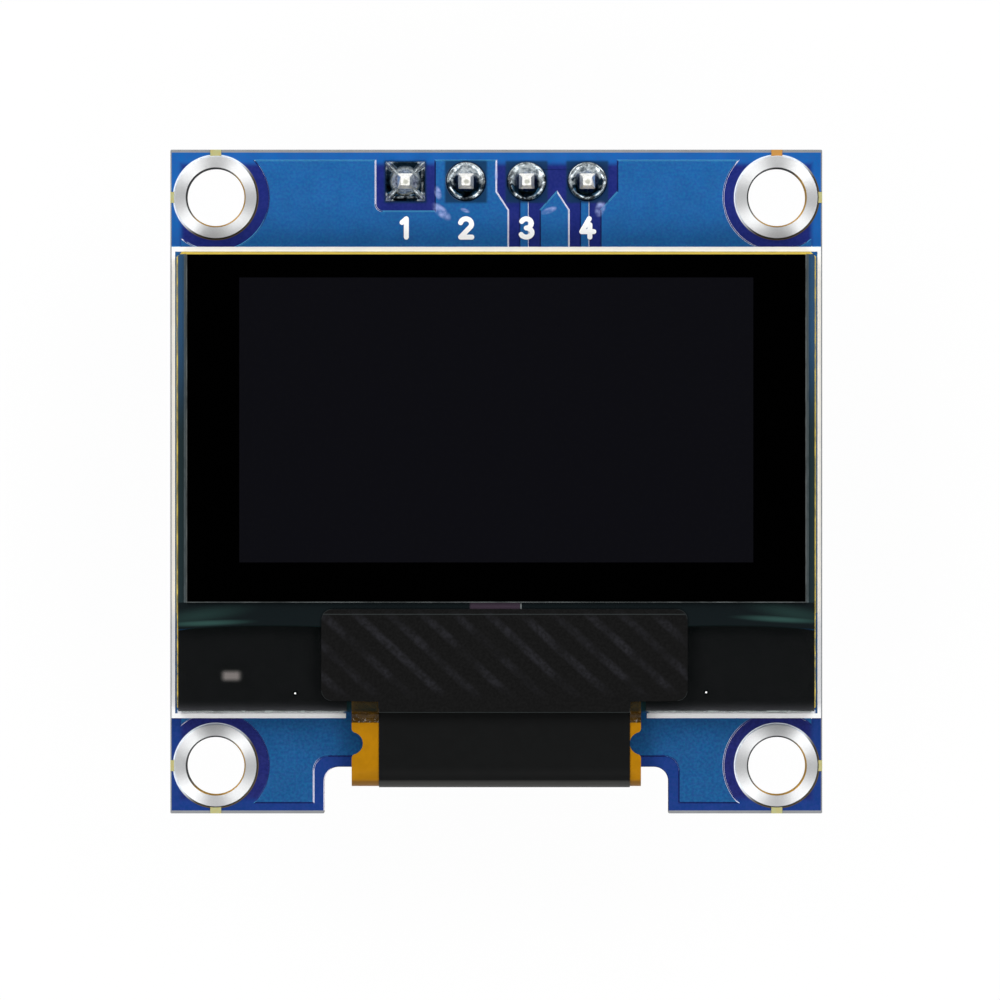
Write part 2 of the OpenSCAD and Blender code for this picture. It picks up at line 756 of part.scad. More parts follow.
// A bent lead from the middle of a body's side down to its foot on the board
module bent_lead(w, body_h) {
    middle = body_gap + body_h / 2;
    foot = lead_l * 0.5;
    bend = lead_l * 0.25;
    mirror([0, 0, 1]) translate([w / 2, 0, 0]) rotate([90, 0, -90]) linear_extrude(w)
        polygon([[0, middle + lead_t / 2], [-bend - lead_t, middle + lead_t / 2],
                 [-lead_l + foot - lead_t / 2, lead_t], [-lead_l, lead_t], [-lead_l, 0],
                 [-lead_l + foot + lead_t / 2, 0], [-bend, middle - lead_t / 2],
                 [0, middle - lead_t / 2]]);
}

module regulator_body() {
    color("#222224") translate(regulator_place) moulded_body(regulator_l, regulator_w, regulator_h);
}

module regulator_leads() {
    color("silver") translate(regulator_place) {
        for (x = [-regulator_pitch, regulator_pitch]) translate([x, -regulator_w / 2, 0])
            mirror([0, 1, 0]) bent_lead(lead_w, regulator_h);
        translate([0, regulator_w / 2, 0]) bent_lead(lead_w, regulator_h);
    }
}

module diode_body() {
    color("#222224") translate(diode_place) rotate(90) moulded_body(diode_w, diode_l, diode_h);
}

module diode_leads() {
    color("silver") translate(diode_place) rotate(90) for (side = [0, 1]) mirror([0, side, 0])
        translate([0, diode_l / 2, 0]) bent_lead(diode_lead_w, diode_h);
}

circuit_board();
header_body();
printed_frame();
adhesive_tape();
rear_glass();
seal();
drying_sheet();
pixel_layer();
front_glass();
polariser();
driver_chip();
light_shield();
ledge_support(-1);  // left_support
ledge_support(1);  // right_support
flex_tail();
coverlay();
glue_bead();
flex_solder_row();
regulator_body();
regulator_leads();
diode_body();
diode_leads();
chip_solder();
for (i = [1:4]) hole_ring(i);
for (i = [1:pin_count]) pin_pad(i);
for (i = [1:pin_count]) header_pin(i);
for (i = [1:pin_count]) pin_solder(i);
for (i = [1:capacitor_count]) capacitor(i);
for (i = [1:resistor_count]) resistor(i);
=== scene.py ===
import math

import bmesh
import bpy
from bpy.props import FloatProperty, FloatVectorProperty, PointerProperty
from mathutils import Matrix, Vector, noise


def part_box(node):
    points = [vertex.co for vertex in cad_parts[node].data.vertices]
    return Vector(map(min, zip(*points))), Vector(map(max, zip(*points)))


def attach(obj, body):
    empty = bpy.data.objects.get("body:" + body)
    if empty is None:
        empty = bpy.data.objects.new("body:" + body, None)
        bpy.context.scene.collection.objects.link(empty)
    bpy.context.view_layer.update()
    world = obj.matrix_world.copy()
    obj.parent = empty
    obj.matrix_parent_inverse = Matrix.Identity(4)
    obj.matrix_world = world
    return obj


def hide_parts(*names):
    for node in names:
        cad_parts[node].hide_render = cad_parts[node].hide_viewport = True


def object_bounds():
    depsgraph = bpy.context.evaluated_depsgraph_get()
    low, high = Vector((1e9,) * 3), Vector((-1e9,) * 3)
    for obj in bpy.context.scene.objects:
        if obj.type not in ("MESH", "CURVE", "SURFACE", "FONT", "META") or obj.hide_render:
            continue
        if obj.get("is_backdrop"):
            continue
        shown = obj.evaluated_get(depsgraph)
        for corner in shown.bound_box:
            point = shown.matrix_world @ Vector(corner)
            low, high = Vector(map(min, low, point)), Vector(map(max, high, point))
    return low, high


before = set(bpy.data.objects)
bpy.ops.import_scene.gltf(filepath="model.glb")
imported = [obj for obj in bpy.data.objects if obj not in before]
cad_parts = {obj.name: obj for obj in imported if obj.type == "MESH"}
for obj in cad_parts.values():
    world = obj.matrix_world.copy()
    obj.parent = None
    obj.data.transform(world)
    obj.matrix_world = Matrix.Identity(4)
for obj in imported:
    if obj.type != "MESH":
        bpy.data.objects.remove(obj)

bl_info = {
    "name": "Small OLED Display Module",
    "version": (1, 0, 0),
    "blender": (4, 5, 0),
    "location": "View3D > Sidebar > OLED Module",
    "description": "Finishes and fine pieces for a small OLED module with a header and a flex tail",
    "category": "Object",
}

MM = 0.001
SMOOTH = "SMOOTHSTEP"


# ---------------------------------------------------------------- sizes and colours

def linear(code):
    """Linear red, green and blue of an sRGB hex colour."""
    shares = [int(code[i:i + 2], 16) / 255 for i in (1, 3, 5)]
    return tuple(s / 12.92 if s <= 0.04045 else ((s + 0.055) / 1.055) ** 2.4 for s in shares)


def colour(name, description, code):
    return FloatVectorProperty(name=name, description=description, subtype="COLOR", size=3,
                               min=0, max=1, default=linear(code))


def length(name, description, millimetres):
    return FloatProperty(name=name, description=description, unit="LENGTH", min=0,
                         precision=5, default=millimetres * MM)


class ModuleSizes(bpy.types.PropertyGroup):
    """Sizes of the fine pieces and patterns"""
    edge_round: length("Edge rounding", "Width of the worn edge on solid parts", 0.03)
    copper_slope: length("Copper slope", "Width of the slope where mask climbs onto copper", 0.033)
    ring_round: length("Ring rounding", "Rounding at the edges of a plated ring", 0.05)
    ring_inner: length("Ring bore", "Radius of a plated hole", 1.2)
    ring_outer: length("Ring radius", "Outer radius of a plated ring", 1.75)
    hole_side: length("Hole to side", "Distance from a hole to the board's side", 1.9)
    hole_end: length("Hole to end", "Distance from a hole to the board's end", 2.0)
    bar_width: length("Bar width", "Width of a plating bar", 0.46)
    cut_edge: length("Cut edge", "Bare laminate along the header edge of the board", 0.12)
    cut_side: length("Cut side", "Bare laminate along the sides of the board", 0.05)
    mask_grain: length("Mask grain", "Spacing of the ripples in the solder mask", 0.35)
    number_height: length("Number height", "Height of the pin numbers", 0.96)
    number_width: length("Number width", "Width of the pin numbers", 0.68)
    number_stroke: length("Number stroke", "Width of a printed stroke", 0.21)
    number_y: length("Number place", "Distance of the numbers from the board's centre", 10.62)
    joint_height: length("Joint height", "Height of a solder joint at its pin", 0.5)
    joint_lump: length("Joint lumps", "Unevenness of a solder joint", 0.045)
    streak_pitch: length("Streak pitch", "Distance between the soft streaks on the tape", 0.95)
    film_edge: length("Film edge", "Rounding of the polariser's edge", 0.04)


class ModuleColours(bpy.types.PropertyGroup):
    """Colours of the finishes, as they look in plain light"""
    # The flex side colours are the same mask in painted shade: the board is painted darker towards the flex tail.
    mask_copper: colour("Mask on copper", "Solder mask over copper, header side", "#135392")
    mask_copper_shaded: colour("Mask on copper, flex side", "Solder mask over copper", "#0d4579")
    mask_bare: colour("Mask on laminate", "Solder mask over bare laminate", "#122068")
    mask_bare_shaded: colour("Mask on laminate, flex side", "Solder mask over laminate", "#141c58")
    mask_margin: colour("Mask at the margin", "Solder mask along the header edge", "#1059a0")
    mask_margin_shaded: colour("Mask at the margin, flex side", "Solder mask along the edge", "#0d3272")
    # Painted highlight and painted shade on the slopes of the copper's edges.
    slope_light: colour("Lit slope", "Thin mask on a copper edge towards the light", "#f0eefc")
    slope_dark: colour("Dark slope", "Thin mask on a copper edge away from the light", "#14215e")
    peel_teal: colour("Teal peel", "Teal shift in the mask's orange peel", "#1f8ab0")
    peel_violet: colour("Violet peel", "Violet shift in the mask's orange peel", "#3a3f96")
    laminate: colour("Laminate", "Cut glass-fibre laminate", "#b1ab94")
    cut_corner: colour("Cut corner", "Upper corner of the cut laminate", "#85878a")
    fibre: colour("Fibre", "Darker layers in the cut laminate", "#8a8574")
    # Painted highlight on copper edge slopes that face the header.
    slope_teal_highlight: colour("Teal slope", "Thin mask on a copper edge that faces the header", "#3f8dbd")
    # Bare copper darkened by the ring's painted shadow, at the lower right of the gap.
    shadowed_copper_line: colour("Copper line", "Bare copper in the gap round a ring", "#5d5032")
    rim_light: colour("Lit rim", "Light caught in the rolled rim of a ring", "#eef4fc")
    rim_dark: colour("Dark rim", "Shaded edge of a ring", "#37393b")
    # Painted highlight: pale lilac patches beside the joints.
    joint_side_highlight: colour("Highlight beside joints", "Pale flux residue beside the joints", "#9aa6da")
    # Painted shade: the dark mask right round the joints.
    joint_shade: colour("Joint shade", "Dark flux round the joints", "#0a2d4c")
    ink: colour("Printed ink", "White ink of the frame and the numbers", "#fdfdfd")
    solder: colour("Solder", "Reflowed tin solder", "#c0c9cd")
    solder_grey: colour("Grey solder", "Solder that cooled slowly", "#4c5a64")
    solder_dark: colour("Dark solder", "Solder that turns away from the light", "#132838")
    ring: colour("Ring coating", "Levelled tin on the plated rings", "#f4f5f6")
    # Golden copper with a painted highlight, on the lower right of a ring's inner edge.
    gold_highlight: colour("Gold", "Gold-coloured copper at the thin edges", "#b98f3a")
    bar: colour("Plating bar", "Olive lacquer over the plating bars", "#a9ab7c")
    pin: colour("Pin", "Tinned brass pins", "#fbfbf7")
    nick: colour("Pin nick", "Shaded nick in a cropped pin", "#a3a594")
    nylon: colour("Nylon", "Moulded header body", "#151517")
    glass: colour("Glass", "Tint of the panel glass", "#10201f")
    # Painted shade: the board as it looks in shade beneath the side strips.
    strip_blue: colour("Glass strip, header side", "Board seen through the side strips", "#2f4f6e")
    strip_teal: colour("Glass strip, flex side", "Tape seen through the side strips", "#233033")
    strip_line: colour("Glass strip line", "Scribed line beside the polariser", "#5b6466")
    glass_edge: colour("Glass edge", "Honey-coloured tape at the glass edge", "#c9b04e")
    glass_low: colour("Glass edge, flex side", "Light caught in the ground edge", "#8d9492")
    adhesive: colour("Adhesive", "Tape seen through the glass", "#12222b")
    adhesive_rim: colour("Adhesive rim", "Squeezed-out edge of the tape", "#d9c067")
    seal: colour("Seal", "Cured resin between the glasses", "#12181a")
    seal_edge: colour("Seal edge", "Greenish light in the rear glass's lower edge", "#2b4541")
    sheet: colour("Drying sheet", "Pale drying sheet in the recess", "#c9c7bb")
    polariser: colour("Polariser", "Black polarising film", "#000000")
    pixels: colour("Pixels", "Switched-off pixel area", "#0b0b0f")
    film_edge: colour("Film edge", "Cut edge of the polariser", "#6d7272")
    leads: colour("Leads", "Mauve metal leads under the glass", "#3b313c")
    ledge_mark: colour("Ledge mark", "Pale mark under the glass of the ledge", "#7c7674")
    silicon: colour("Silicon", "Polished back of the driver chip", "#5b5068")
    tape: colour("Tape", "Black light shield tape", "#0d0d0d")
    streak: colour("Tape streak", "Lighter streaks on the tape", "#222226")
    # Painted highlight on the tape's cut edge and inside its top edge.
    tape_edge_highlight: colour("Tape edge", "Clear border of the tape", "#3a4040")
    foam: colour("Foam", "Dark support pads behind the ledge", "#0c0c0d")
    foam_haze: colour("Foam haze", "Paler haze at the pads' lower edge", "#4c4c50")
    amber: colour("Amber film", "Polyimide film of the flex tail", "#9f6c00")
    # Painted shade on the amber film at the fold.
    amber_fold_shade: colour("Amber bend", "Polyimide where it bends away", "#7a5312")
    coverlay: colour("Coverlay", "Black coverlay on the flex tail", "#0c0d0d")
    # Painted highlight on the coverlay at the fold.
    coverlay_fold_highlight: colour("Coverlay bend", "Coverlay where it bends away", "#333331")
    glue: colour("Glue", "Clear glue at the glass edge", "#46310c")
    epoxy: colour("Epoxy", "Moulded cases of the small parts", "#1c1c1e")
    tan_ceramic: colour("Tan ceramic", "Capacitor bodies", "#a8875c")
    black_ceramic: colour("Black ceramic", "Resistor coating", "#17181b")


class StageSettings(bpy.types.PropertyGroup):
    """Camera, lamps and floor"""
    camera_height: length("Camera height", "Height of the camera above the module", 600)
    view_width: length("View width", "Width that the camera sees at the module", 41.84)
    aim_x: FloatProperty(name="Aim X", description="Camera place across the board",
                         unit="LENGTH", precision=5, default=0.155 * MM)
    aim_y: FloatProperty(name="Aim Y", description="Camera place along the board",
                         unit="LENGTH", precision=5, default=-0.774 * MM)
    lamp_distance: length("Lamp distance", "Distance of the soft lamps", 350)
    lamp_size: length("Lamp size", "Width of the soft lamps", 200)
    lamp_power: FloatProperty(name="Lamp power", description="Power of a soft lamp",
                              unit="POWER", min=0, default=0.335)
    room_light: FloatProperty(name="Room light", description="Brightness of the studio's walls",
                              min=0, default=0.84)
    floor: colour("Floor", "Plain pale floor", "#f6f6f6")


# ---------------------------------------------------------------- materials

def add(tree, kind, *values, **named):
    """Adds a node. Values and links go to its inputs in order. A name with a capital is an
    input, any other a setting. A node given as a value stands for its first output in use."""
    made = tree.nodes.new("ShaderNode" + kind)
    for name in named:
        if name[0].islower():
            setattr(made, name, named[name])
    pairs = list(zip([socket for socket in made.inputs if socket.enabled], values))
    pairs += [(made.inputs[name.replace("_", " ")], named[name]) for name in named
              if name[0].isupper()]
    for socket, value in pairs:
        if isinstance(value, bpy.types.Node):
            value = next(output for output in value.outputs if output.enabled)
        if isinstance(value, bpy.types.NodeSocket):
            tree.links.new(value, socket)
        elif socket.type == "RGBA":
            socket.default_value = (*value[:3], 1.0)
        else:
            socket.default_value = value
    return made


def start(name):
    """A new material, its tree, and the place on the module in millimetres, as a vector and as
    its three parts."""
    made = bpy.data.materials.new(name)
    made.use_nodes = True
    tree = made.node_tree
    tree.nodes.clear()
    place = add(tree, "VectorMath", add(tree, "TexCoord").outputs["Object"], operation="SCALE",
                Scale=1 / MM)
    return made, tree, place, *add(tree, "SeparateXYZ", place).outputs


def finish(tree, **sockets):
    """Ends a material: its shader, with its own values and what is linked to it."""
    add(tree, "OutputMaterial", add(tree, "BsdfPrincipled", **sockets))


def facing(tree, x, y, z):
    """How far a face looks in a direction, from -1 to 1."""
    normal = add(tree, "NewGeometry").outputs["Normal"]
    return add(tree, "VectorMath", normal, (x, y, z), operation="DOT_PRODUCT")


def within(tree, value, low, high, soft=0.02):
    """1 where a value lies between two levels, fading out over a soft stretch at both."""
    middle, half = (low + high) / 2, (high - low) / 2
    away = add(tree, "Math", add(tree, "Math", value, middle, operation="SUBTRACT"),
               operation="ABSOLUTE")
    return add(tree, "MapRange", away, half + soft / 2, half - soft / 2, interpolation_type=SMOOTH)


def overlap(tree, *masks):
    """Where all masks hold."""
    result = masks[0]
    for mask in masks[1:]:
        result = add(tree, "Math", result, mask, operation="MULTIPLY")
    return result


def union(tree, *masks):
    """Where any mask holds."""
    result = masks[0]
    for mask in masks[1:]:
        result = add(tree, "Math", result, mask, operation="MAXIMUM")
    return result


def folded(tree, value, reach):
    """A coordinate measured from the nearer of two mirrored places."""
    side = add(tree, "Math", value, operation="SIGN")
    return add(tree, "Math", value, add(tree, "Math", side, reach, operation="MULTIPLY"),
               operation="SUBTRACT")


def spokes(tree, x, y, middle):
    """The direction away from the nearest mounting hole, the distance from it, and how far a
    place lies to the lower right of it, in millimetres."""
    arm = folded(tree, x, middle.x), folded(tree, y, middle.y)
    spoke = add(tree, "CombineXYZ", *arm)
    return (spoke, add(tree, "VectorMath", spoke, operation="LENGTH"),
            add(tree, "Math", *arm, operation="SUBTRACT"))


def blot(tree, place, x, y, wide, tall, turn=0, soft=0.6):
    """1 in the middle of an oval patch, fading out to 0 at its rim."""
    local = add(tree, "VectorMath", place, (x, y, 0), operation="SUBTRACT")
    local = add(tree, "VectorRotate", rotation_type="Z_AXIS", Vector=local,
                Angle=math.radians(-turn))
    local = add(tree, "VectorMath", local, (2 / wide, 2 / tall, 0), operation="MULTIPLY")
    reach = add(tree, "VectorMath", local, operation="LENGTH")
    return add(tree, "MapRange", reach, 1.0, 1.0 - soft, interpolation_type=SMOOTH)


def mottle(tree, place, size, low, high, detail=2.0):
    """Noise with patches of the given size in millimetres, from a low to a high level."""
    patches = add(tree, "TexNoise", Vector=place, Scale=1 / size, Detail=detail)
    return add(tree, "MapRange", patches, 0.3, 0.7, low, high, interpolation_type=SMOOTH)


def tinted(tree, base, place, size, low, high, detail=2.0):
    """A colour that is darker and lighter by patches, from a low to a high level."""
    return add(tree, "VectorMath", base, operation="SCALE",
               Scale=mottle(tree, place, size, low, high, detail))


def coat(tree, tone, layers):
    """Colours laid over a tone, each where its mask holds."""
    for mask, over in layers:
        tone = add(tree, "Mix", mask, tone, over, data_type="RGBA")
    return tone


def ripple(tree, place, size, height, detail=2.0):
    """A normal with ripples of the given spacing and height in millimetres."""
    waves = add(tree, "TexNoise", Vector=place, Scale=1 / size, Detail=detail)
    return add(tree, "Bump", Strength=1.0, Distance=height * MM, Height=waves)


def paint(nodes, made):
    """Gives CAD nodes their material."""
    for name in nodes:
        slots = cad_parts[name].data.materials
        slots.clear()
        slots.append(made)


# ---------------------------------------------------------------- meshes

def piece(name, vertices, faces, materials, slot, nodes=(), smooth=False, kinds=None):
    """A new mesh piece in the module's own frame, which may stand for CAD nodes."""
    mesh = bpy.data.meshes.new(name)
    mesh.from_pydata([tuple(v) for v in vertices], [], faces)
    for made in materials:
        mesh.materials.append(made)
    if kinds:
        mesh.polygons.foreach_set("material_index", kinds)
    mesh.polygons.foreach_set("use_smooth", [smooth] * len(mesh.polygons))
    mesh.update()
    made = bpy.data.objects.new(name, mesh)
    bpy.context.scene.collection.objects.link(made)
    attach(made, "root")
    if nodes:
        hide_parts(*nodes)
    return made


def turned(profile, steps, centre):
    """Vertices and faces of a closed profile of radius and height, turned round an axis."""
    count = len(profile)
    vertices, faces = [], []
    for i in range(steps):
        turn = 2 * math.pi * i / steps
        for radius, height in profile:
            vertices.append((centre[0] + radius * math.cos(turn),
                             centre[1] + radius * math.sin(turn), height))
        here, there = i * count, (i + 1) % steps * count
        for j in range(count):
            k = (j + 1) % count
            faces.append((here + j, there + j, there + k, here + k))
    return vertices, faces


def slab(outline, low, high, rounding):
    """Vertices and faces of a flat sheet whose upper edges are rounded."""
    form = bmesh.new()
    count = len(outline)
    ring = [form.verts.new((x, y, low)) for x, y in outline]
    cap = [form.verts.new((x, y, high)) for x, y in outline]
    form.faces.new(list(reversed(ring)))
    top = form.faces.new(cap)
    for i in range(count):
        j = (i + 1) % count
        form.faces.new((ring[i], ring[j], cap[j], cap[i]))
    bmesh.ops.bevel(form, geom=list(top.edges), offset=rounding, segments=2, profile=0.5,
                    affect="EDGES", clamp_overlap=True)
    form.verts.index_update()
    vertices = [v.co.copy() for v in form.verts]
    faces = [[v.index for v in f.verts] for f in form.faces]
    form.free()
    return vertices, faces


def stroke(points, half, low, high, arcs=8):
    """Vertices and faces of a flat brush stroke with round ends along a line of points."""
    points = [Vector(p) for p in points]
    count = len(points)
    left, right = [], []
    for i, point in enumerate(points):
        before = (point - points[i - 1]).normalized() if i else None
        after = (points[i + 1] - point).normalized() if i < count - 1 else None
        one, two = before or after, after or before
        side = Vector((-one.y, one.x))
        normal = (side + Vector((-two.y, two.x))).normalized()
        spread = half / max(0.5, normal.dot(side))
        left.append(point + normal * spread)
        right.append(point - normal * spread)
    caps = []
    for centre, start in ((points[-1], left[-1]), (points[0], right[0])):
        turn = math.atan2(start.y - centre.y, start.x - centre.x)
        caps.append([centre + half * Vector((math.cos(turn - math.pi * k / arcs),
                                             math.sin(turn - math.pi * k / arcs)))
                     for k in range(1, arcs)])
    loop = left + caps[0] + right[::-1] + caps[1]
    size = len(loop)
    vertices = [(p.x, p.y, z) for z in (low, high) for p in loop]
    faces = [(i + size, (i + 1) % size + size, (i + 1) % size, i) for i in range(size)]
    ends = [[*range(count - 1, count + arcs)],
            [*range(2 * count + arcs - 2, size), 0]]
    flats = [[i, 2 * count + arcs - 2 - i, 2 * count + arcs - 3 - i, i + 1]
             for i in range(count - 1)] + [end[::-1] for end in ends]
    for flat in flats:
        faces.append([i + size for i in flat])
        faces.append(flat[::-1])
    return vertices, faces


def joined(parts):
    """Several sets of vertices and faces as one."""
    vertices, faces = [], []
    for more, sheets in parts:
        faces += [[i + len(vertices) for i in sheet] for sheet in sheets]
        vertices += more
    return vertices, faces


def corner(x, y, radius, start, steps=8):
    """Points of a quarter round, counter-clockwise from a start angle in degrees."""
    return [(x + radius * math.cos(math.radians(start + 90 * i / steps)),
             y + radius * math.sin(math.radians(start + 90 * i / steps)))
            for i in range(steps + 1)]


def soften(names, width, segments=1, clamp=True):
    """Chamfers the sharp edges of CAD nodes a little, so that they catch the light."""
    for name in names:
        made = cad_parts[name]
        weld = made.modifiers.new("Join faces", "WELD")
        weld.merge_threshold = 1e-7
        bevel = made.modifiers.new("Soft edges", "BEVEL")
        bevel.width = width
        bevel.segments = segments
        bevel.limit_method = "ANGLE"
        bevel.angle_limit = math.radians(35)
        bevel.use_clamp_overlap = clamp


# ---------------------------------------------------------------- operators

class OLED_OT_stage(bpy.types.Operator):
    """Make the floor, the room light, the soft lamps and the camera"""
    bl_idname = "oled.stage"
    bl_label = "Stage"

    def execute(self, context):
        stage = context.scene.oled_stage
        scene = context.scene
        scene.view_settings.view_transform = "Standard"
        self.light_room(scene, stage)
        self.lay_floor(scene, stage)
        for name, turn, rise, share in (("back_left", 130, 46, 1.0), ("back_right", 45, 48, 1.15),
                                        ("front_left", 225, 46, 1.2), ("front_right", 313, 46, 1.1)):
            self.hang_lamp(scene, stage, name, math.radians(turn), math.radians(rise), share)
        data = bpy.data.cameras.new("camera")
        data.sensor_width = 36
        data.lens = data.sensor_width * stage.camera_height / stage.view_width
        data.clip_start, data.clip_end = 0.01, 10
        camera = bpy.data.objects.new("camera", data)
        camera.location = (stage.aim_x, stage.aim_y, stage.camera_height + 1.8 * MM)
        scene.collection.objects.link(camera)
        scene.camera = camera
        return {"FINISHED"}

    def light_room(self, scene, stage):
        """Pale walls all round, brighter behind the header, and a dark opening overhead."""
        world = bpy.data.worlds.new("studio_room")
        scene.world = world
        world.use_nodes = True
        tree = world.node_tree
        tree.nodes.clear()
        across, along, height = add(tree, "SeparateXYZ", add(tree, "TexCoord").outputs["Generated"]).outputs
        walls = add(tree, "MapRange", along, -0.8, 0.6, 0.45 * stage.room_light, stage.room_light,
                    interpolation_type=SMOOTH)
        opening = add(tree, "MapRange", height, 0.74, 0.95, 1.0, 0.03, interpolation_type=SMOOTH)
        light = add(tree, "Background", (1, 1, 1), overlap(tree, walls, opening))
        seen = add(tree, "Background", (1, 1, 1), 1.0)
        add(tree, "OutputWorld", add(tree, "MixShader", self.clear_rays(tree), light, seen))

    def clear_rays(self, tree):
        """Rays that show the plain white ground: the camera's, and those through glass."""
        path = add(tree, "LightPath").outputs
        return union(tree, path["Is Camera Ray"], path["Is Transmission Ray"])

    def lay_floor(self, scene, stage):
        # Matt paper: even and pale, with a fibre grain too faint to disturb the view.
        made = bpy.data.materials.new("pale_paper_floor")
        made.use_nodes = True
        tree = made.node_tree
        tree.nodes.clear()
        grain = add(tree, "TexNoise", Vector=add(tree, "TexCoord").outputs["Object"], Scale=900.0)
        level = add(tree, "MapRange", grain, 0.2, 0.8, 0.985, 1.0)
        lit = add(tree, "BsdfDiffuse", add(tree, "VectorMath", stage.floor, operation="SCALE", Scale=level))
        seen = add(tree, "Emission", (1, 1, 1), 1.0)
        share = overlap(tree, self.clear_rays(tree), 0.96)
        add(tree, "OutputMaterial", add(tree, "MixShader", share, lit, seen))
        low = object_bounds()[0].z
        mesh = bpy.data.meshes.new("floor")
        mesh.from_pydata([(-2, -2, low), (2, -2, low), (2, 2, low), (-2, 2, low)], [], [(0, 1, 2, 3)])
        mesh.materials.append(made)
        floor = bpy.data.objects.new("floor", mesh)
        scene.collection.objects.link(floor)
        floor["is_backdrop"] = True

    def hang_lamp(self, scene, stage, name, turn, rise, share):
        data = bpy.data.lights.new("lamp_" + name, "AREA")
        data.shape = "DISK"
        data.size = stage.lamp_size
        data.energy = stage.lamp_power * share
        lamp = bpy.data.objects.new("lamp_" + name, data)
        toward = Vector((math.cos(rise) * math.cos(turn), math.cos(rise) * math.sin(turn),
                         math.sin(rise)))
        lamp.location = toward * stage.lamp_distance
        lamp.rotation_mode = "QUATERNION"
        lamp.rotation_quaternion = toward.to_track_quat("Z", "Y")
        scene.collection.objects.link(lamp)


class OLED_OT_board(bpy.types.Operator):
    """Finish the circuit board with solder mask and cut laminate edges"""
    bl_idname = "oled.board"
    bl_label = "Circuit board"

    def execute(self, context):
        sizes, colours = context.scene.oled_sizes, context.scene.oled_colours
        low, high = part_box("circuit_board")
        half_x, half_y, thick = high / MM
        # Blue liquid solder mask, screened and cured over etched copper: a clear satin coat, so
        # it looks brighter over copper and deep violet-blue over the laminate between.
        made, tree, place, x, y, z = start("solder_mask_over_copper")
        across = add(tree, "Math", x, operation="ABSOLUTE")
        along = add(tree, "Math", y, operation="ABSOLUTE")
        rise = add(tree, "MapRange", y, -9.5, 9.5)
        copper = union(tree, within(tree, z, thick - 0.01, thick + 1), within(tree, z, -1, 0.01))
        margin = union(tree, within(tree, across, half_x - 0.45, half_x + 1, 0.3),
                       within(tree, along, half_y - 0.6, half_y + 1, 0.3),
                       overlap(tree, within(tree, across, 5.0, 9.3, 0.3),
                               within(tree, y, -half_y, -11.2, 0.3)))
        # Painted shade: the mask darkens from the header end towards the flex tail.
        bare = coat(tree, coat(tree, colours.mask_bare_shaded, [(rise, colours.mask_bare)]),
                    [(margin, coat(tree, colours.mask_margin_shaded, [(rise, colours.mask_margin)]))])
        over = coat(tree, colours.mask_copper_shaded, [(rise, colours.mask_copper)])
        # The mask is thin on the slopes of the copper's edges, and their colour is painted light and shade: a lilac
        # painted highlight where they face the right, a teal painted highlight where they face the header, painted
        # shade on the other sides.
        slope = overlap(tree, within(tree, facing(tree, 0, 0, 1), 0.4, 0.92, 0.1),
                        within(tree, z, thick - 0.08, thick + 1))
        edge = coat(tree, colours.slope_dark, [
            (within(tree, facing(tree, 0, 1, 0), 0.3, 2, 0.3), colours.slope_teal_highlight),
            (within(tree, facing(tree, 1, 0.2, 0), 0.3, 2, 0.3), colours.slope_light)])
        # Pale lilac painted highlights lie in patches beside the joints, and painted shade darkens the mask right
        # round them.
        low_pin, high_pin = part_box("header_pin_1")
        pin_y = (low_pin.y + high_pin.y) / 2 / MM
        beside = folded(tree, folded(tree, x, 2.54), 1.27)
        joint_shade = overlap(tree, within(tree, beside, -0.88, 0.88, 0.14),
                        within(tree, y, pin_y - 0.9, pin_y + 0.86, 0.14), 0.85)
        joint_side_highlight = union(tree, *(blot(tree, place, *at) for at in (
            (-2.3, 11.3, 1.15, 0.5, -42), (-1.3, 11.35, 0.5, 0.2, -20), (4.35, 11.45, 0.5, 0.85, -15),
            (2.2, 11.35, 0.8, 0.3, 20), (0.0, 12.9, 0.16, 0.8, 0), (-2.45, 12.1, 0.35, 0.7, 15))))
        joint_side_highlight = overlap(tree, joint_side_highlight, mottle(tree, place, 0.3, 0.1, 1.0, 4.0))
        # Bare copper shows as a fine line where the mask stops short of the rings, painted with light and shade: a
        # painted highlight at the upper left, and copper darkened by the ring's painted shadow at the lower right.
        middle = Vector((half_x - sizes.hole_side / MM, half_y - sizes.hole_end / MM))
        spoke, radius, lower = spokes(tree, x, y, middle)
        gap = within(tree, radius, 0, sizes.ring_outer / MM + 0.045, 0.03)
        turn = add(tree, "MapRange", lower, -0.9, 0.9, interpolation_type=SMOOTH)
        gap_tone = coat(tree, colours.rim_light, [(turn, colours.shadowed_copper_line)])
        # A strip in the ink's white is painted on the board just under the lower edge of the glass, up to the flex
        # tail.
        glass_low, print_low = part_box("front_glass")[0] / MM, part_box("printed_frame")[0] / MM
        white_strip_under_glass = overlap(tree, within(tree, y, print_low.y + 0.1, glass_low.y + 0.1),
                        within(tree, across, 6.4, -glass_low.x, 0.1), 0.8)
        # Cut edges: routed glass-fibre laminate, grey and layered, with no mask on it.
        waves = add(tree, "TexWave", bands_direction="Z", Vector=place, Scale=2.2,
                    Distortion=1.4, Detail=2.0, Detail_Scale=2.0)
        cut = tinted(tree, coat(tree, colours.laminate, [(waves.outputs[1], colours.fibre)]),
                     place, 0.25, 0.85, 1.1)
        cut = coat(tree, cut, [(within(tree, facing(tree, 0, 0, 1), 0.3, 2, 0.2), colours.cut_corner)])
        rim = union(tree, within(tree, across, half_x - sizes.cut_side / MM, half_x + 1),
                    within(tree, along, half_y - sizes.cut_edge / MM, half_y + 1),
                    within(tree, z, 0.06, thick - 0.09))
        mask = coat(tree, bare, [(copper, over), (slope, edge)])
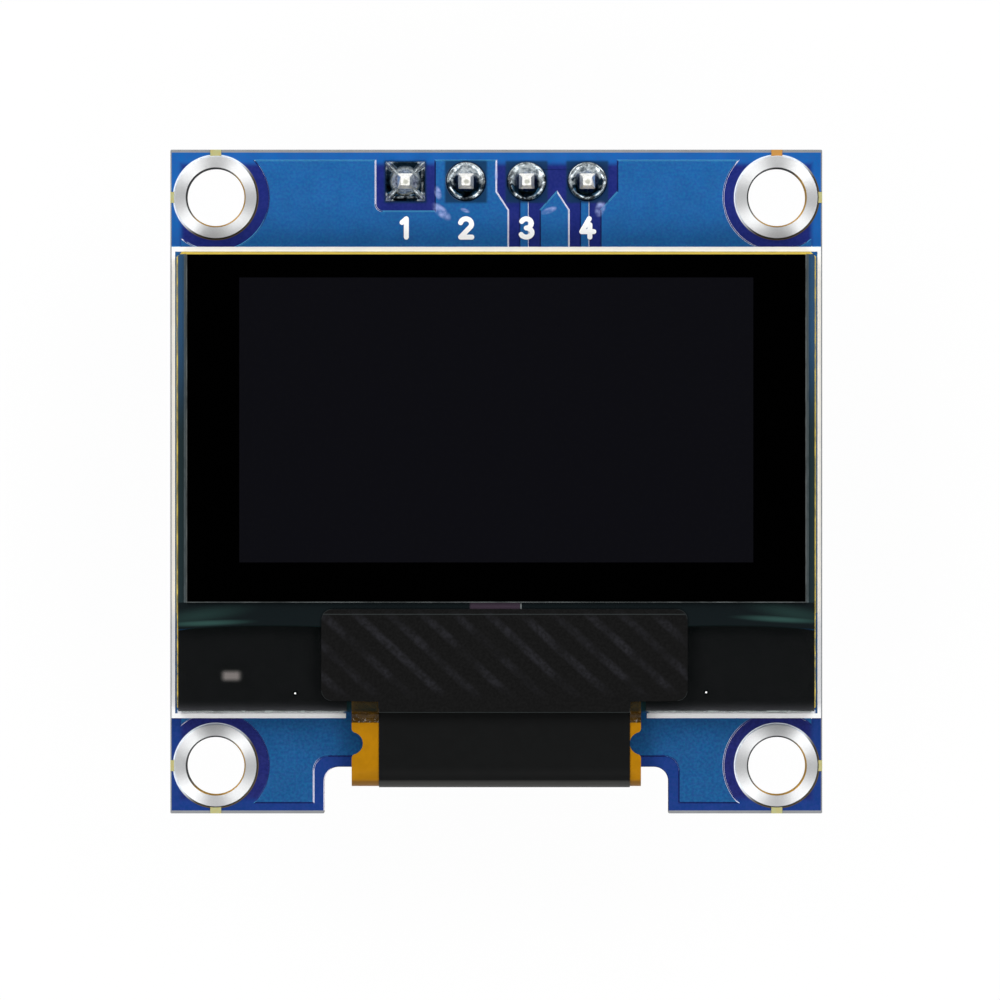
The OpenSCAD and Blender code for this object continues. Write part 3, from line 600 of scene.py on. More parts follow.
        # The coat has a fine orange peel that shifts its blue towards teal and violet.
        mask = coat(tree, mask, [
            (overlap(tree, copper, mottle(tree, place, 0.12, 0.0, 0.2, 3.0)), colours.peel_teal),
            (mottle(tree, add(tree, "VectorMath", place, (7, 3, 1)), 0.1, 0.0, 0.16),
             colours.peel_violet),
            (joint_side_highlight, colours.joint_side_highlight), (joint_shade, colours.joint_shade), (gap, gap_tone),
            (white_strip_under_glass, colours.ink), (rim, cut)])
        rough = add(tree, "Math", mottle(tree, place, 0.5, 0.4, 0.52),
                    overlap(tree, rim, 0.35), operation="ADD")
        finish(tree, IOR=1.5, Specular_IOR_Level=0.12,
               Base_Color=tinted(tree, mask, place, 0.9, 0.95, 1.05, 4.0), Roughness=rough,
               Normal=ripple(tree, place, sizes.mask_grain / MM, 0.006, 3.0))
        paint(["circuit_board"], made)
        soften(["circuit_board"], sizes.copper_slope, clamp=False)
        return {"FINISHED"}


class OLED_OT_rings(bpy.types.Operator):
    """Make the four plated mounting rings with their plating bars"""
    bl_idname = "oled.rings"
    bl_label = "Mounting rings"

    def execute(self, context):
        sizes, colours = context.scene.oled_sizes, context.scene.oled_colours
        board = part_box("circuit_board")[1]
        tin, bar = self.tin(sizes, colours, board), self.bar(colours)
        for number in range(1, 5):
            node = f"hole_ring_{number}"
            low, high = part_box(node)
            side = -1 if low.x < 0 else 1
            end = -1 if low.y < 0 else 1
            centre = Vector((side * (board.x - sizes.hole_side), end * (board.y - sizes.hole_end)))
            ring = turned(self.profile(sizes, high.z, board.z), 128, centre)
            bars = [self.plating_bar(sizes, centre, board, side, 0),
                    self.plating_bar(sizes, centre, board, 0, end)]
            vertices, faces = joined([ring, *bars])
            kinds = [int(i >= len(ring[1])) for i in range(len(faces))]
            made = piece(f"plated_ring_{number}", vertices, faces, [tin, bar], "plated_ring",
                         [node], kinds=kinds)
            for face in made.data.polygons:
                face.use_smooth = face.material_index == 0
        return {"FINISHED"}

    def profile(self, sizes, top, surface):
        """Section of a ring: barrel, rounded inner edge, flat face and rounded outer edge."""
        inner, outer, rounding = sizes.ring_inner, sizes.ring_outer, sizes.ring_round
        half = []
        for edge, way in ((inner, 1), (outer, -1)):
            arc = [(edge + way * rounding * (1 - math.cos(math.pi / 2 * i / 6)),
                    top - rounding * (1 - math.sin(math.pi / 2 * i / 6))) for i in range(7)]
            half += arc[::way]
        return half + [(radius, surface - height) for radius, height in reversed(half)]

    def plating_bar(self, sizes, centre, board, side, end):
        """A flat bar from the ring to the board's edge."""
        along = Vector((side, end))
        across = Vector((-end, side)) * sizes.bar_width / 2
        start = centre + along * (sizes.ring_outer - 0.05 * MM)
        stop = centre + along * (sizes.hole_side if side else sizes.hole_end)
        outline = [start - across, stop - across, stop + across, start + across]
        return slab(outline, board.z - 0.04 * MM, board.z + 0.004 * MM, 0.004 * MM)

    def tin(self, sizes, colours, board):
        # Levelled tin on copper, turned bright: fine circular marks fan each lamp out into a cone across the ring.
        # Its rolled edges carry painted light and shade: the outer edge a painted highlight at the upper left and
        # painted shade at the lower right, the inner edge painted shade at the upper left and golden copper with a
        # painted highlight at the lower right.
        made, tree, place, x, y, z = start("turned_tin_on_copper")
        middle = Vector((board.x - sizes.hole_side, board.y - sizes.hole_end)) / MM
        spoke, radius, lower = spokes(tree, x, y, middle)
        inner, outer = sizes.ring_inner / MM, sizes.ring_outer / MM
        turn = add(tree, "MapRange", lower, -0.6, 0.8, interpolation_type=SMOOTH)
        tone = coat(tree, tinted(tree, colours.ring, place, 0.05, 0.97, 1.02), [
            (within(tree, radius, 0, inner + 0.055, 0.03),
             coat(tree, colours.rim_dark, [(turn, colours.gold_highlight)])),
            (within(tree, radius, outer - 0.045, outer + 1, 0.03),
             coat(tree, colours.rim_light, [(turn, colours.rim_dark)]))])
        finish(tree, Metallic=1.0, Roughness=0.5, Anisotropic=0.8, Base_Color=tone, Tangent=spoke)
        return made

    def bar(self, colours):
        # Copper bar with a thin olive lacquer, cut at the board's edge: dull and a bit stained.
        made, tree, place, x, y, z = start("lacquered_copper_bar")
        stains = mottle(tree, place, 0.15, 0.0, 0.5)
        scorch = overlap(tree, within(tree, x, 11.0, 12.5), within(tree, y, 13.0, 15.0), 0.8)
        finish(tree, Roughness=0.5, IOR=1.5, Specular_IOR_Level=0.2,
               Base_Color=coat(tree, colours.bar, [
                   (stains, linear("#b59d58")), (scorch, linear("#b8782c"))]))
        return made


class OLED_OT_header(bpy.types.Operator):
    """Make the header's pins, pads, solder joints and body"""
    bl_idname = "oled.header"
    bl_label = "Pin header"

    def execute(self, context):
        sizes, colours = context.scene.oled_sizes, context.scene.oled_colours
        solder = self.solder(colours)
        for number in range(1, 5):
            low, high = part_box(f"pin_pad_{number}")
            centre = (low + high) / 2
            joint = self.square_joint if number == 1 else self.round_joint
            vertices, faces = joint(sizes, centre, high.x - centre.x, high.z, number)
            piece(f"solder_joint_{number}", vertices, faces, [solder], "solder",
                  [f"pin_solder_{number}"], smooth=True)
        paint([f"pin_pad_{i}" for i in range(1, 5)], solder)
        paint([f"header_pin_{i}" for i in range(1, 5)], self.pin(colours))
        soften([f"header_pin_{i}" for i in range(1, 5)], sizes.edge_round, 2)
        paint(["header_body"], self.nylon(colours))
        soften(["header_body"], sizes.edge_round * 1.5, 2)
        return {"FINISHED"}

    def lumps(self, sizes, x, y, number):
        """Uneven height of the solder at a place beside its pin."""
        wide = noise.noise(Vector((x, y, 0)) / (0.36 * MM) + Vector((0, 0, 7.3 * number)))
        fine = noise.noise(Vector((x, y, 0)) / (0.15 * MM) + Vector((0, 0, 3.1 * number)))
        return sizes.joint_lump * (wide + 0.35 * fine)

    def round_joint(self, sizes, centre, radius, surface, number):
        """A hollow cone of solder with a rolled rim, from the pad up to the pin."""
        steps, rows = 96, 32
        pin = 0.3 * MM
        rim = 0.07 * MM
        vertices, faces = [], []
        for i in range(rows + 1):
            share = i / rows
            reach = radius + (pin - radius) * share
            depth = radius - reach
            roll = rim * math.sqrt(max(0.0, 1 - (1 - min(1.0, depth / rim)) ** 2))
            rise = roll + (sizes.joint_height - rim) * share ** 2.4
            for j in range(steps):
                turn = 2 * math.pi * j / steps
                x, y = reach * math.cos(turn), reach * math.sin(turn)
                swell = math.sin(math.pi * share) ** 0.7 * self.lumps(sizes, x, y, number)
                vertices.append((centre.x + x, centre.y + y, surface + rise + swell))
        base = surface - 0.02 * MM
        for reach in (pin, radius):
            for j in range(steps):
                turn = 2 * math.pi * j / steps
                vertices.append((centre.x + reach * math.cos(turn),
                                 centre.y + reach * math.sin(turn), base))
        order = [*range(rows + 1), rows + 1, rows + 2, 0]
        for here, there in zip(order, order[1:]):
            for j in range(steps):
                k = (j + 1) % steps
                faces.append((here * steps + j, here * steps + k,
                              there * steps + k, there * steps + j))
        return vertices, faces

    def square_joint(self, sizes, centre, half, surface, number):
        """Solder on the square pad: a low skin, drawn out in strands to the four corners."""
        cells = 84
        vertices, faces = [], []
        for i in range(cells + 1):
            for j in range(cells + 1):
                x, y = half * (2 * j / cells - 1), half * (2 * i / cells - 1)
                reach = math.hypot(x, y)
                off = min(abs(x - y), abs(x + y)) / math.sqrt(2)
                strand = 0.13 * MM * math.exp(-(off / (0.075 * MM)) ** 2)
                corner_reach = math.hypot(abs(x) - 0.8 * half, abs(y) - 0.8 * half)
                strand += 0.1 * MM * math.exp(-(corner_reach / (0.11 * MM)) ** 2)
                cone = max(0.0, 1 - max(0.0, reach - 0.28 * MM) / (0.4 * MM))
                rise = sizes.joint_height * cone ** 1.6
                edge = min(1.0, (half - max(abs(x), abs(y))) / (0.07 * MM))
                skin = 0.04 * MM + 0.6 * self.lumps(sizes, x, y, number)
                height = (max(rise, strand) + skin) * math.sqrt(max(0.0, 1 - (1 - edge) ** 2))
                vertices.append((centre.x + x, centre.y + y, surface + max(0.0, height)))
        row = cells + 1
        for i in range(cells):
            for j in range(cells):
                first = i * row + j
                faces.append((first, first + 1, first + row + 1, first + row))
        base = len(vertices)
        for x, y in ((-half, -half), (half, -half), (half, half), (-half, half)):
            vertices.append((centre.x + x, centre.y + y, surface - 0.02 * MM))
        faces.append((base + 3, base + 2, base + 1, base))
        walls = ([*range(row)], [i * row + cells for i in range(row)],
                 [cells * row + j for j in reversed(range(row))],
                 [i * row for i in reversed(range(row))])
        for turn, wall in enumerate(walls):
            faces.append([base + turn, base + (turn + 1) % 4, *reversed(wall)])
        return vertices, faces

    def solder(self, colours):
        # Reflowed tin solder with flux, grey and grainy in patches where it cooled slowly. On the header joints light
        # and shade are painted into the colour: painted highlights on the upper half and in a ring just inside the
        # rim, painted shade on the lower half, beside the pin and along the rim.
        made, tree, place, x, y, z = start("reflowed_tin_solder")
        low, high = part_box("pin_pad_1")
        pin_y, half = (low.y + high.y) / 2 / MM, (high.y - low.y) / 2 / MM
        beside = folded(tree, folded(tree, x, 2.54), 1.27)
        above = add(tree, "Math", y, pin_y, operation="SUBTRACT")
        radius = add(tree, "VectorMath", add(tree, "CombineXYZ", beside, above), operation="LENGTH")
        wander = add(tree, "Math", above, mottle(tree, place, 0.3, -0.25, 0.25), operation="ADD")
        upper = add(tree, "MapRange", wander, -0.12, 0.2, interpolation_type=SMOOTH)
        arc = overlap(tree, within(tree, radius, half - 0.17, half - 0.07, 0.05),
                      mottle(tree, place, 0.3, 0.0, 1.0), 0.9)
        beside_pin = overlap(tree, within(tree, radius, 0.3, 0.52, 0.1),
                             within(tree, above, -0.6, 0.28, 0.2), 0.9)
        rim = within(tree, radius, half - 0.04, half + 0.05, 0.04)
        # The first joint is on a square pad: painted shade all over, with painted highlights on strands along its
        # diagonals, round the pin, at the corners and in broken lines near its edges.
        square = within(tree, x, low.x / MM - 0.2, high.x / MM + 0.2)
        rim_lines = union(tree, within(tree, beside, half - 0.16, half - 0.08, 0.04),
                          within(tree, above, 0.12 - half, 0.2 - half, 0.04))
        off = add(tree, "Math", add(tree, "Math", beside, operation="ABSOLUTE"),
                  add(tree, "Math", above, operation="ABSOLUTE"), operation="SUBTRACT")
        strands = union(tree, within(tree, off, -0.1, 0.14, 0.1), within(tree, radius, 0, 0.58, 0.16),
                        within(tree, radius, half * 1.14, 9, 0.1), overlap(
                            tree, rim_lines, mottle(tree, place, 0.25, 0.0, 1.0)))
        strands = overlap(tree, strands, mottle(tree, place, 0.16, 0.45, 1.0))
        round_tone = coat(tree, colours.solder_dark, [
            (upper, colours.solder),
            (overlap(tree, upper, mottle(tree, place, 0.16, -0.3, 0.9, 3.0)), colours.solder_grey),
            (beside_pin, colours.solder_dark), (arc, colours.solder),
            (overlap(tree, rim, 0.8), colours.solder_dark)])
        square_tone = coat(tree, colours.solder_dark, [(strands, colours.solder)])
        front = overlap(tree, square, within(tree, y, pin_y - 2, pin_y + 2))
        on_header = overlap(tree, within(tree, y, pin_y - 2, pin_y + 2), within(tree, z, 0.5, 9))
        tone = coat(tree, colours.solder, [(on_header, coat(tree, round_tone, [(front, square_tone)]))])
        frosted = overlap(tree, on_header, union(tree, overlap(tree, front, strands),
                                                 overlap(tree, upper, 0.7)))
        finish(tree, Metallic=add(tree, "MapRange", frosted, 0, 1, 1.0, 0.5),
               Base_Color=tinted(tree, tone, place, 0.12, 0.7, 1.05, 3.0),
               Roughness=mottle(tree, place, 0.18, 0.12, 0.3),
               Normal=ripple(tree, place, 0.12, 0.008, 3.0))
        return made

    def pin(self, colours):
        # Tinned brass wire, drawn and cropped: even soft grey along the pin, brighter and
        # scored on the cropped end.
        made, tree, place, x, y, z = start("tinned_brass_pin")
        drawn = add(tree, "VectorMath", place, (1, 1, 0.06), operation="MULTIPLY")
        rough = add(tree, "MapRange", facing(tree, 0, 0, 1), 0.8, 0.95, 0.32, 0.75)
        low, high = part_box("header_pin_1")
        beside = folded(tree, folded(tree, x, 2.54), 1.27)
        above = add(tree, "Math", y, (low.y + high.y) / 2 / MM, operation="SUBTRACT")
        nick = overlap(tree, blot(tree, add(tree, "CombineXYZ", beside, above), 0.02, -0.03, 0.3, 0.26),
                       within(tree, z, high.z / MM - 0.2, high.z / MM + 1), 0.6)
        finish(tree, Metallic=1.0, Roughness=rough,
             Base_Color=tinted(tree, coat(tree, colours.pin, [(nick, colours.nick)]),
                                 drawn, 0.08, 0.8, 1.0, 3.0),
               Normal=ripple(tree, drawn, 0.06, 0.006))
        return made

    def nylon(self, colours):
        # Black glass-filled nylon, injection moulded: matt, with the faint grain of the tool.
        made, tree, place, x, y, z = start("moulded_black_nylon")
        finish(tree, Roughness=0.55, IOR=1.53,
               Base_Color=tinted(tree, colours.nylon, place, 0.3, 0.85, 1.2, 4.0),
               Normal=ripple(tree, place, 0.08, 0.008))
        return made


class OLED_OT_print(bpy.types.Operator):
    """Print the white frame and the pin numbers"""
    bl_idname = "oled.print"
    bl_label = "White print"

    def execute(self, context):
        sizes, colours = context.scene.oled_sizes, context.scene.oled_colours
        ink = self.ink(colours)
        paint(["printed_frame"], ink)
        low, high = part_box("printed_frame")
        for number, strokes in enumerate(self.numbers(), start=1):
            left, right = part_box(f"header_pin_{number}")
            middle = (left.x + right.x) / 2
            parts = []
            for layer, line in enumerate(strokes):
                points = [(middle + px * sizes.number_width, sizes.number_y + py * sizes.number_height)
                          for px, py in line]
                step = 0.004 * MM * layer
                parts.append(stroke(points, sizes.number_stroke / 2, low.z - 0.04 * MM + step,
                                    high.z - step))
            piece(f"pin_number_{number}", *joined(parts), [ink], "print_white")
        return {"FINISHED"}

    def numbers(self):
        """Strokes of the numbers 1 to 4, as shares of their width and height."""
        def arc(x, y, wide, tall, start, stop, steps=14):
            turns = [math.radians(start + (stop - start) * i / steps) for i in range(steps + 1)]
            return [(x + wide * math.cos(t), y + tall * math.sin(t)) for t in turns]
        one = [[(-0.2, 0.24), (0.06, 0.4)], [(0.06, 0.4), (0.06, -0.4)]]
        two = [[*arc(0, 0.17, 0.34, 0.23, 165, -25), (-0.33, -0.4)], [(-0.33, -0.4), (0.36, -0.4)]]
        three = [arc(-0.02, 0.2, 0.31, 0.2, 155, -90), arc(-0.02, -0.2, 0.35, 0.2, 90, -155)]
        four = [[(0.12, 0.4), (-0.34, -0.16)], [(-0.34, -0.16), (0.4, -0.16)],
                [(0.16, 0.14), (0.16, -0.4)]]
        return one, two, three, four

    def ink(self, colours):
        # White legend ink, screened on the mask: matt and solid, with faintly uneven cover.
        made, tree, place, x, y, z = start("screened_white_ink")
        finish(tree, Roughness=0.6, IOR=1.45,
               Base_Color=tinted(tree, colours.ink, place, 0.1, 0.97, 1.0, 3.0),
               Normal=ripple(tree, place, 0.05, 0.003))
        return made


class OLED_OT_panel(bpy.types.Operator):
    """Finish the panel: both glasses, what lies between them, and the tape behind"""
    bl_idname = "oled.panel"
    bl_label = "Glass panel"

    def execute(self, context):
        sizes, colours = context.scene.oled_sizes, context.scene.oled_colours
        paint(["front_glass"], self.front_glass(colours))
        paint(["rear_glass"], self.rear_glass(colours))
        soften(["front_glass", "rear_glass"], sizes.edge_round)
        paint(["adhesive_tape"], self.adhesive(colours))
        paint(["seal"], self.seal(colours))
        paint(["drying_sheet"], self.drying_sheet(colours))
        paint(["pixel_layer"], self.pixels(colours))
        paint(["driver_chip"], self.silicon(colours))
        return {"FINISHED"}

    def front_glass(self, colours):
        # Thin soda-lime glass, scribed and broken to size: clear over the ledge. Its side strips carry painted shade:
        # the board beneath them, darkened, blue at the header side and dark teal towards the flex side. Its side and
        # top edges are painted honey yellow, and its ground lower edge beside the flex carries painted light.
        made, tree, place, x, y, z = start("scribed_front_glass")
        made.surface_render_method = "BLENDED"
        low, high = (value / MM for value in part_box("front_glass"))
        film_low, film_high = (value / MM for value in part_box("polariser"))
        rear_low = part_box("rear_glass")[0] / MM
        across = add(tree, "Math", x, operation="ABSOLUTE")
        stained = mottle(tree, place, 0.6, 0.75, 1.25, 4.0)
        speckled = mottle(tree, place, 0.5, 0.4, 1.0, 3.0)
        strip = overlap(tree, within(tree, across, film_high.x - 0.05, high.x + 1),
                        within(tree, y, rear_low.y, high.y + 1, 0.3))
        blue = add(tree, "MapRange", y, 1.5, 7.0, interpolation_type=SMOOTH)
        strips = coat(tree, colours.strip_teal, [(blue, colours.strip_blue)])
        line = overlap(tree, strip, within(tree, across, film_high.x, film_high.x + 0.1, 0.04))
        arch = add(tree, "Math", add(tree, "Math", across, 9.4, operation="SUBTRACT"), 2.0,
                   operation="POWER")
        arched = add(tree, "Math", arch, 0.011, y, operation="MULTIPLY_ADD")
        band = overlap(tree, within(tree, arched, rear_low.y - 0.3, film_low.y + 3, 0.1),
                       within(tree, y, rear_low.y - 1, film_low.y),
                       within(tree, across, -1, high.x - 0.05))
        # Painted light: the rear glass's lower edge, seen glowing through the front glass.
        glow = union(tree, blot(tree, place, -12.2, -5.92, 5.0, 0.34, 2, 0.9),
                     blot(tree, place, 11.9, -5.76, 4.8, 0.36, -3, 0.9), overlap(
                         tree, union(tree, blot(tree, place, -12.4, -5.6, 5.6, 0.9, 8, 1.0),
                                     blot(tree, place, 12.4, -5.5, 5.0, 0.9, -10, 1.0)), 0.4))
        # Painted shadow on the flex just under the glass's lower edge.
        flex_shadow = overlap(tree, within(tree, y, low.y + 0.04, -9.1, 0.16),
                         within(tree, across, -1, 6.25, 0.1), 0.55)
        leads = overlap(tree, within(tree, x, -1.1, 1.0, 0.1),
                        within(tree, y, film_low.y - 0.3, film_low.y, 0.04))
        tick = overlap(tree, within(tree, x, 1.0, 1.06, 0.03),
                       within(tree, y, film_low.y - 0.27, film_low.y - 0.04, 0.05))
        flat = within(tree, facing(tree, 0, 0, 1), 0.3, 2, 0.2)
        sides = overlap(tree, within(tree, across, high.x - 0.05, high.x + 1), flat, speckled)
        top = overlap(tree, within(tree, y, high.y - 0.08, high.y + 1), flat)
        bottom = overlap(tree, within(tree, y, low.y - 1, low.y + 0.1, 0.06), speckled,
                         within(tree, across, 6.3, 14.0, 0.2))
        # A pale mark and two tiny register dots lie on the ledge under the glass.
        mark = overlap(tree, within(tree, x, -11.46, -10.68, 0.36), within(tree, y, -8.33, -7.91, 0.3))
        dots = [(blot(tree, place, x_dot, y_dot, wide, wide, 0, 0.3), tone)
                for wide, tone in ((0.26, linear("#000000")), (0.09, linear("#ffffff")))
                for x_dot, y_dot in ((-8.4, -8.85), (8.77, -8.81))]
        tone = coat(tree, colours.glass, [
            (strip, strips), (overlap(tree, line, stained), colours.strip_line),
            (band, colours.seal), (glow, colours.seal_edge), (flex_shadow, colours.glass), (leads, colours.leads),
            (tick, colours.film_edge), (sides, colours.glass_edge), (top, colours.glass_edge),
            (bottom, colours.glass_low), (mark, colours.ledge_mark), *dots])
        cover = union(tree, overlap(tree, strip, 0.8), overlap(tree, band, 0.97), tick, flex_shadow,
                      overlap(tree, glow, 0.97), leads, sides, top, overlap(tree, bottom, 0.7),
                      overlap(tree, mark, 0.75), *[mask for mask, _ in dots], 0.06)
        finish(tree, Roughness=0.06, IOR=1.52, Specular_IOR_Level=0.2, Alpha=cover,
               Base_Color=tone)
        return made

    def rear_glass(self, colours):
        # Etched soda-lime glass: clear, with greenish painted light along its broken lower edge.
        made, tree, place, x, y, z = start("etched_rear_glass")
        made.surface_render_method = "BLENDED"
        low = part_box("rear_glass")[0] / MM
        edge = overlap(tree, within(tree, y, low.y - 1, low.y + 0.08), mottle(tree, place, 0.5, 0.3, 1.0, 3.0))
        finish(tree, Roughness=0.08, IOR=1.52,
               Base_Color=coat(tree, colours.glass, [(edge, colours.seal_edge)]),
             Alpha=add(tree, "Math", edge, 0.35, operation="MAXIMUM"))
        return made

    def adhesive(self, colours):
        # Clear acrylic tape over the blue board: it looks deep blue-green through the glass, and
        # honey yellow where it is squeezed out at the rim.
        made, tree, place, x, y, z = start("acrylic_adhesive_tape")
        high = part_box("adhesive_tape")[1] / MM
        rim = union(tree, within(tree, add(tree, "Math", x, operation="ABSOLUTE"), high.x - 0.08, high.x + 1),
                     within(tree, y, high.y - 0.08, high.y + 1))
        tone = tinted(tree, colours.adhesive, place, 1.2, 0.75, 1.15, 4.0)
        rim_tone = tinted(tree, colours.adhesive_rim, place, 0.6, 0.75, 1.2, 3.0)
        finish(tree, Roughness=0.5, IOR=1.47,
               Base_Color=coat(tree, tone, [(rim, rim_tone)]))
        return made

    def seal(self, colours):
        # Cured sealing resin, printed in a bead and pressed flat: dull, with small voids.
        made, tree, place, x, y, z = start("cured_seal_resin")
        finish(tree, Roughness=0.5, IOR=1.5,
               Base_Color=tinted(tree, colours.seal, place, 0.4, 0.6, 1.2, 4.0))
        return made

    def drying_sheet(self, colours):
        # Pressed drying sheet: chalky and pale, fully hidden behind the pixels.
        made, tree, place, x, y, z = start("pressed_drying_sheet")
        finish(tree, Roughness=0.9, IOR=1.4,
               Base_Color=tinted(tree, colours.sheet, place, 0.2, 0.9, 1.0, 4.0))
        return made

    def pixels(self, colours):
        # Evaporated films, switched off: near black with a trace of violet.
        made, tree, place, x, y, z = start("dark_pixel_films")
        finish(tree, Roughness=0.4, IOR=1.5,
               Base_Color=tinted(tree, colours.pixels, place, 0.17, 0.9, 1.1))
        return made

    def silicon(self, colours):
        # Bare ground silicon: mauve-grey with a fine directional grind.
        made, tree, place, x, y, z = start("ground_silicon")
        ground = add(tree, "VectorMath", place, (0.1, 1, 1), operation="MULTIPLY")
        finish(tree, Roughness=0.3, IOR=2.0,
               Base_Color=tinted(tree, colours.silicon, ground, 0.05, 0.8, 1.1, 3.0))
        return made


class OLED_OT_screen(bpy.types.Operator):
    """Lay the polariser with its dark pixel window on the front glass"""
    bl_idname = "oled.screen"
    bl_label = "Screen"

    def execute(self, context):
        sizes, colours = context.scene.oled_sizes, context.scene.oled_colours
        low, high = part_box("polariser")
        outline = [(low.x, low.y), (high.x, low.y), (high.x, high.y), (low.x, high.y)]
        vertices, faces = slab(outline, low.z, high.z, sizes.film_edge)
        piece("polariser_sheet", vertices, faces, [self.film(colours)], "polariser_film", ["polariser"])
        return {"FINISHED"}

    def film(self, colours):
        # Black polarising film with a hard clear coat: it swallows all light, and only the
        # switched-off pixels behind it lift a window of it by a shade.
        made, tree, place, x, y, z = start("black_polarising_film")
        low, high = (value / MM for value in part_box("pixel_layer"))
        film_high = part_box("polariser")[1] / MM
        window = overlap(tree, within(tree, x, low.x + 0.09, high.x - 0.09),
                         within(tree, y, low.y - 0.05, high.y - 0.03))
        lifted = tinted(tree, colours.pixels, place, 0.17, 0.96, 1.04)
        edge = overlap(tree, within(tree, facing(tree, 0, 0, 1), -1, 0.9, 0.1),
                       mottle(tree, place, 0.8, 0.4, 1.0))
        honey = overlap(tree, within(tree, y, film_high.y - 0.05, film_high.y + 1),
                        within(tree, facing(tree, 0, 0, 1), 0.2, 2, 0.2))
        finish(tree, Roughness=0.3, IOR=1.2, Specular_IOR_Level=0.05,
               Base_Color=coat(tree, colours.polariser, [
                   (window, lifted), (edge, colours.film_edge), (honey, colours.glass_edge)]))
        return made


class OLED_OT_ledge(bpy.types.Operator):
    """Lay the light shield tape on the ledge and finish the pads behind it"""
    bl_idname = "oled.ledge"
    bl_label = "Ledge"

    def execute(self, context):
        sizes, colours = context.scene.oled_sizes, context.scene.oled_colours
        low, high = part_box("light_shield")
        tab_low, tab_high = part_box("glue_bead")
        cover_low, cover_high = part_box("coverlay")
        tab_half = 5.25 * MM
        middle = (low.x + high.x) / 2
        bottom = low.y + 0.49 * MM
        r = 0.45 * MM
        outline = ([(middle - tab_half, bottom), (middle - tab_half, low.y), (middle + tab_half, low.y),
                    (middle + tab_half, bottom)]
                   + corner(high.x - r, bottom + r, r, 270) + corner(high.x - r, high.y - r, r, 0)
                   + corner(low.x + r, high.y - r, r, 90) + corner(low.x + r, bottom + r, r, 180))
        vertices, faces = slab(outline, low.z, high.z, sizes.edge_round)
        piece("shield_tape", vertices, faces, [self.tape(sizes, colours, low / MM, high / MM)],
              "black_tape", ["light_shield"])
        paint(["left_support", "right_support"], self.foam(colours))
        return {"FINISHED"}

    def tape(self, sizes, colours, low, high):
        # Black polyester tape pressed down over the chip: matt, with soft slanted creases that catch the light,
        # painted as lighter streaks, and a painted highlight on its cut edge and along a line just inside its top
        # edge.
        made, tree, place, x, y, z = start("pressed_black_tape")
        slanted = add(tree, "VectorRotate", rotation_type="Z_AXIS", Vector=place,
                      Angle=math.radians(-47))
        waves = add(tree, "TexWave", bands_direction="X", Vector=slanted,
                    Scale=0.314 * MM / sizes.streak_pitch, Distortion=0.8, Detail=1.0,
                    Detail_Scale=0.3)
        streak = overlap(tree, add(tree, "MapRange", waves.outputs[1], 0.5, 1.0,
                                   interpolation_type=SMOOTH),
                         mottle(tree, place, 1.3, 0.15, 1.0), mottle(tree, place, 0.13, 0.3, 1.0),
                         within(tree, y, low.y + 0.9, high.y - 0.3, 0.8))
        border = within(tree, y, high.y - 0.24, high.y - 0.2)
        edge = union(tree, overlap(tree, border, 0.45), overlap(
            tree, within(tree, facing(tree, 0, 0, 1), -1, 0.9, 0.1), 0.7))
        finish(tree, Roughness=0.55, IOR=1.5, Specular_IOR_Level=0.06,
               Base_Color=coat(tree, tinted(tree, colours.tape, place, 0.1, 0.7, 1.3), [
                   (streak, colours.streak), (edge, colours.tape_edge_highlight)]),
               Normal=ripple(tree, place, 0.6, 0.015))
        return made

    def foam(self, colours):
        # Dense black foam: soot black and dull, hazy where the glass edge throws light on it.
        made, tree, place, x, y, z = start("dense_black_foam")
        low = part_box("left_support")[0] / MM
        haze = add(tree, "MapRange", y, low.y + 0.6, low.y, 0.0, 0.95)
        haze = add(tree, "Math", haze, 3.2, operation="POWER")
        base = tinted(tree, colours.foam, place, 0.5, 0.9, 1.1, 4.0)
        finish(tree, Roughness=0.8, IOR=1.4, Specular_IOR_Level=0.1,
               Base_Color=coat(tree, base, [(haze, colours.foam_haze)]),
               Normal=ripple(tree, place, 0.08, 0.01))
        return made


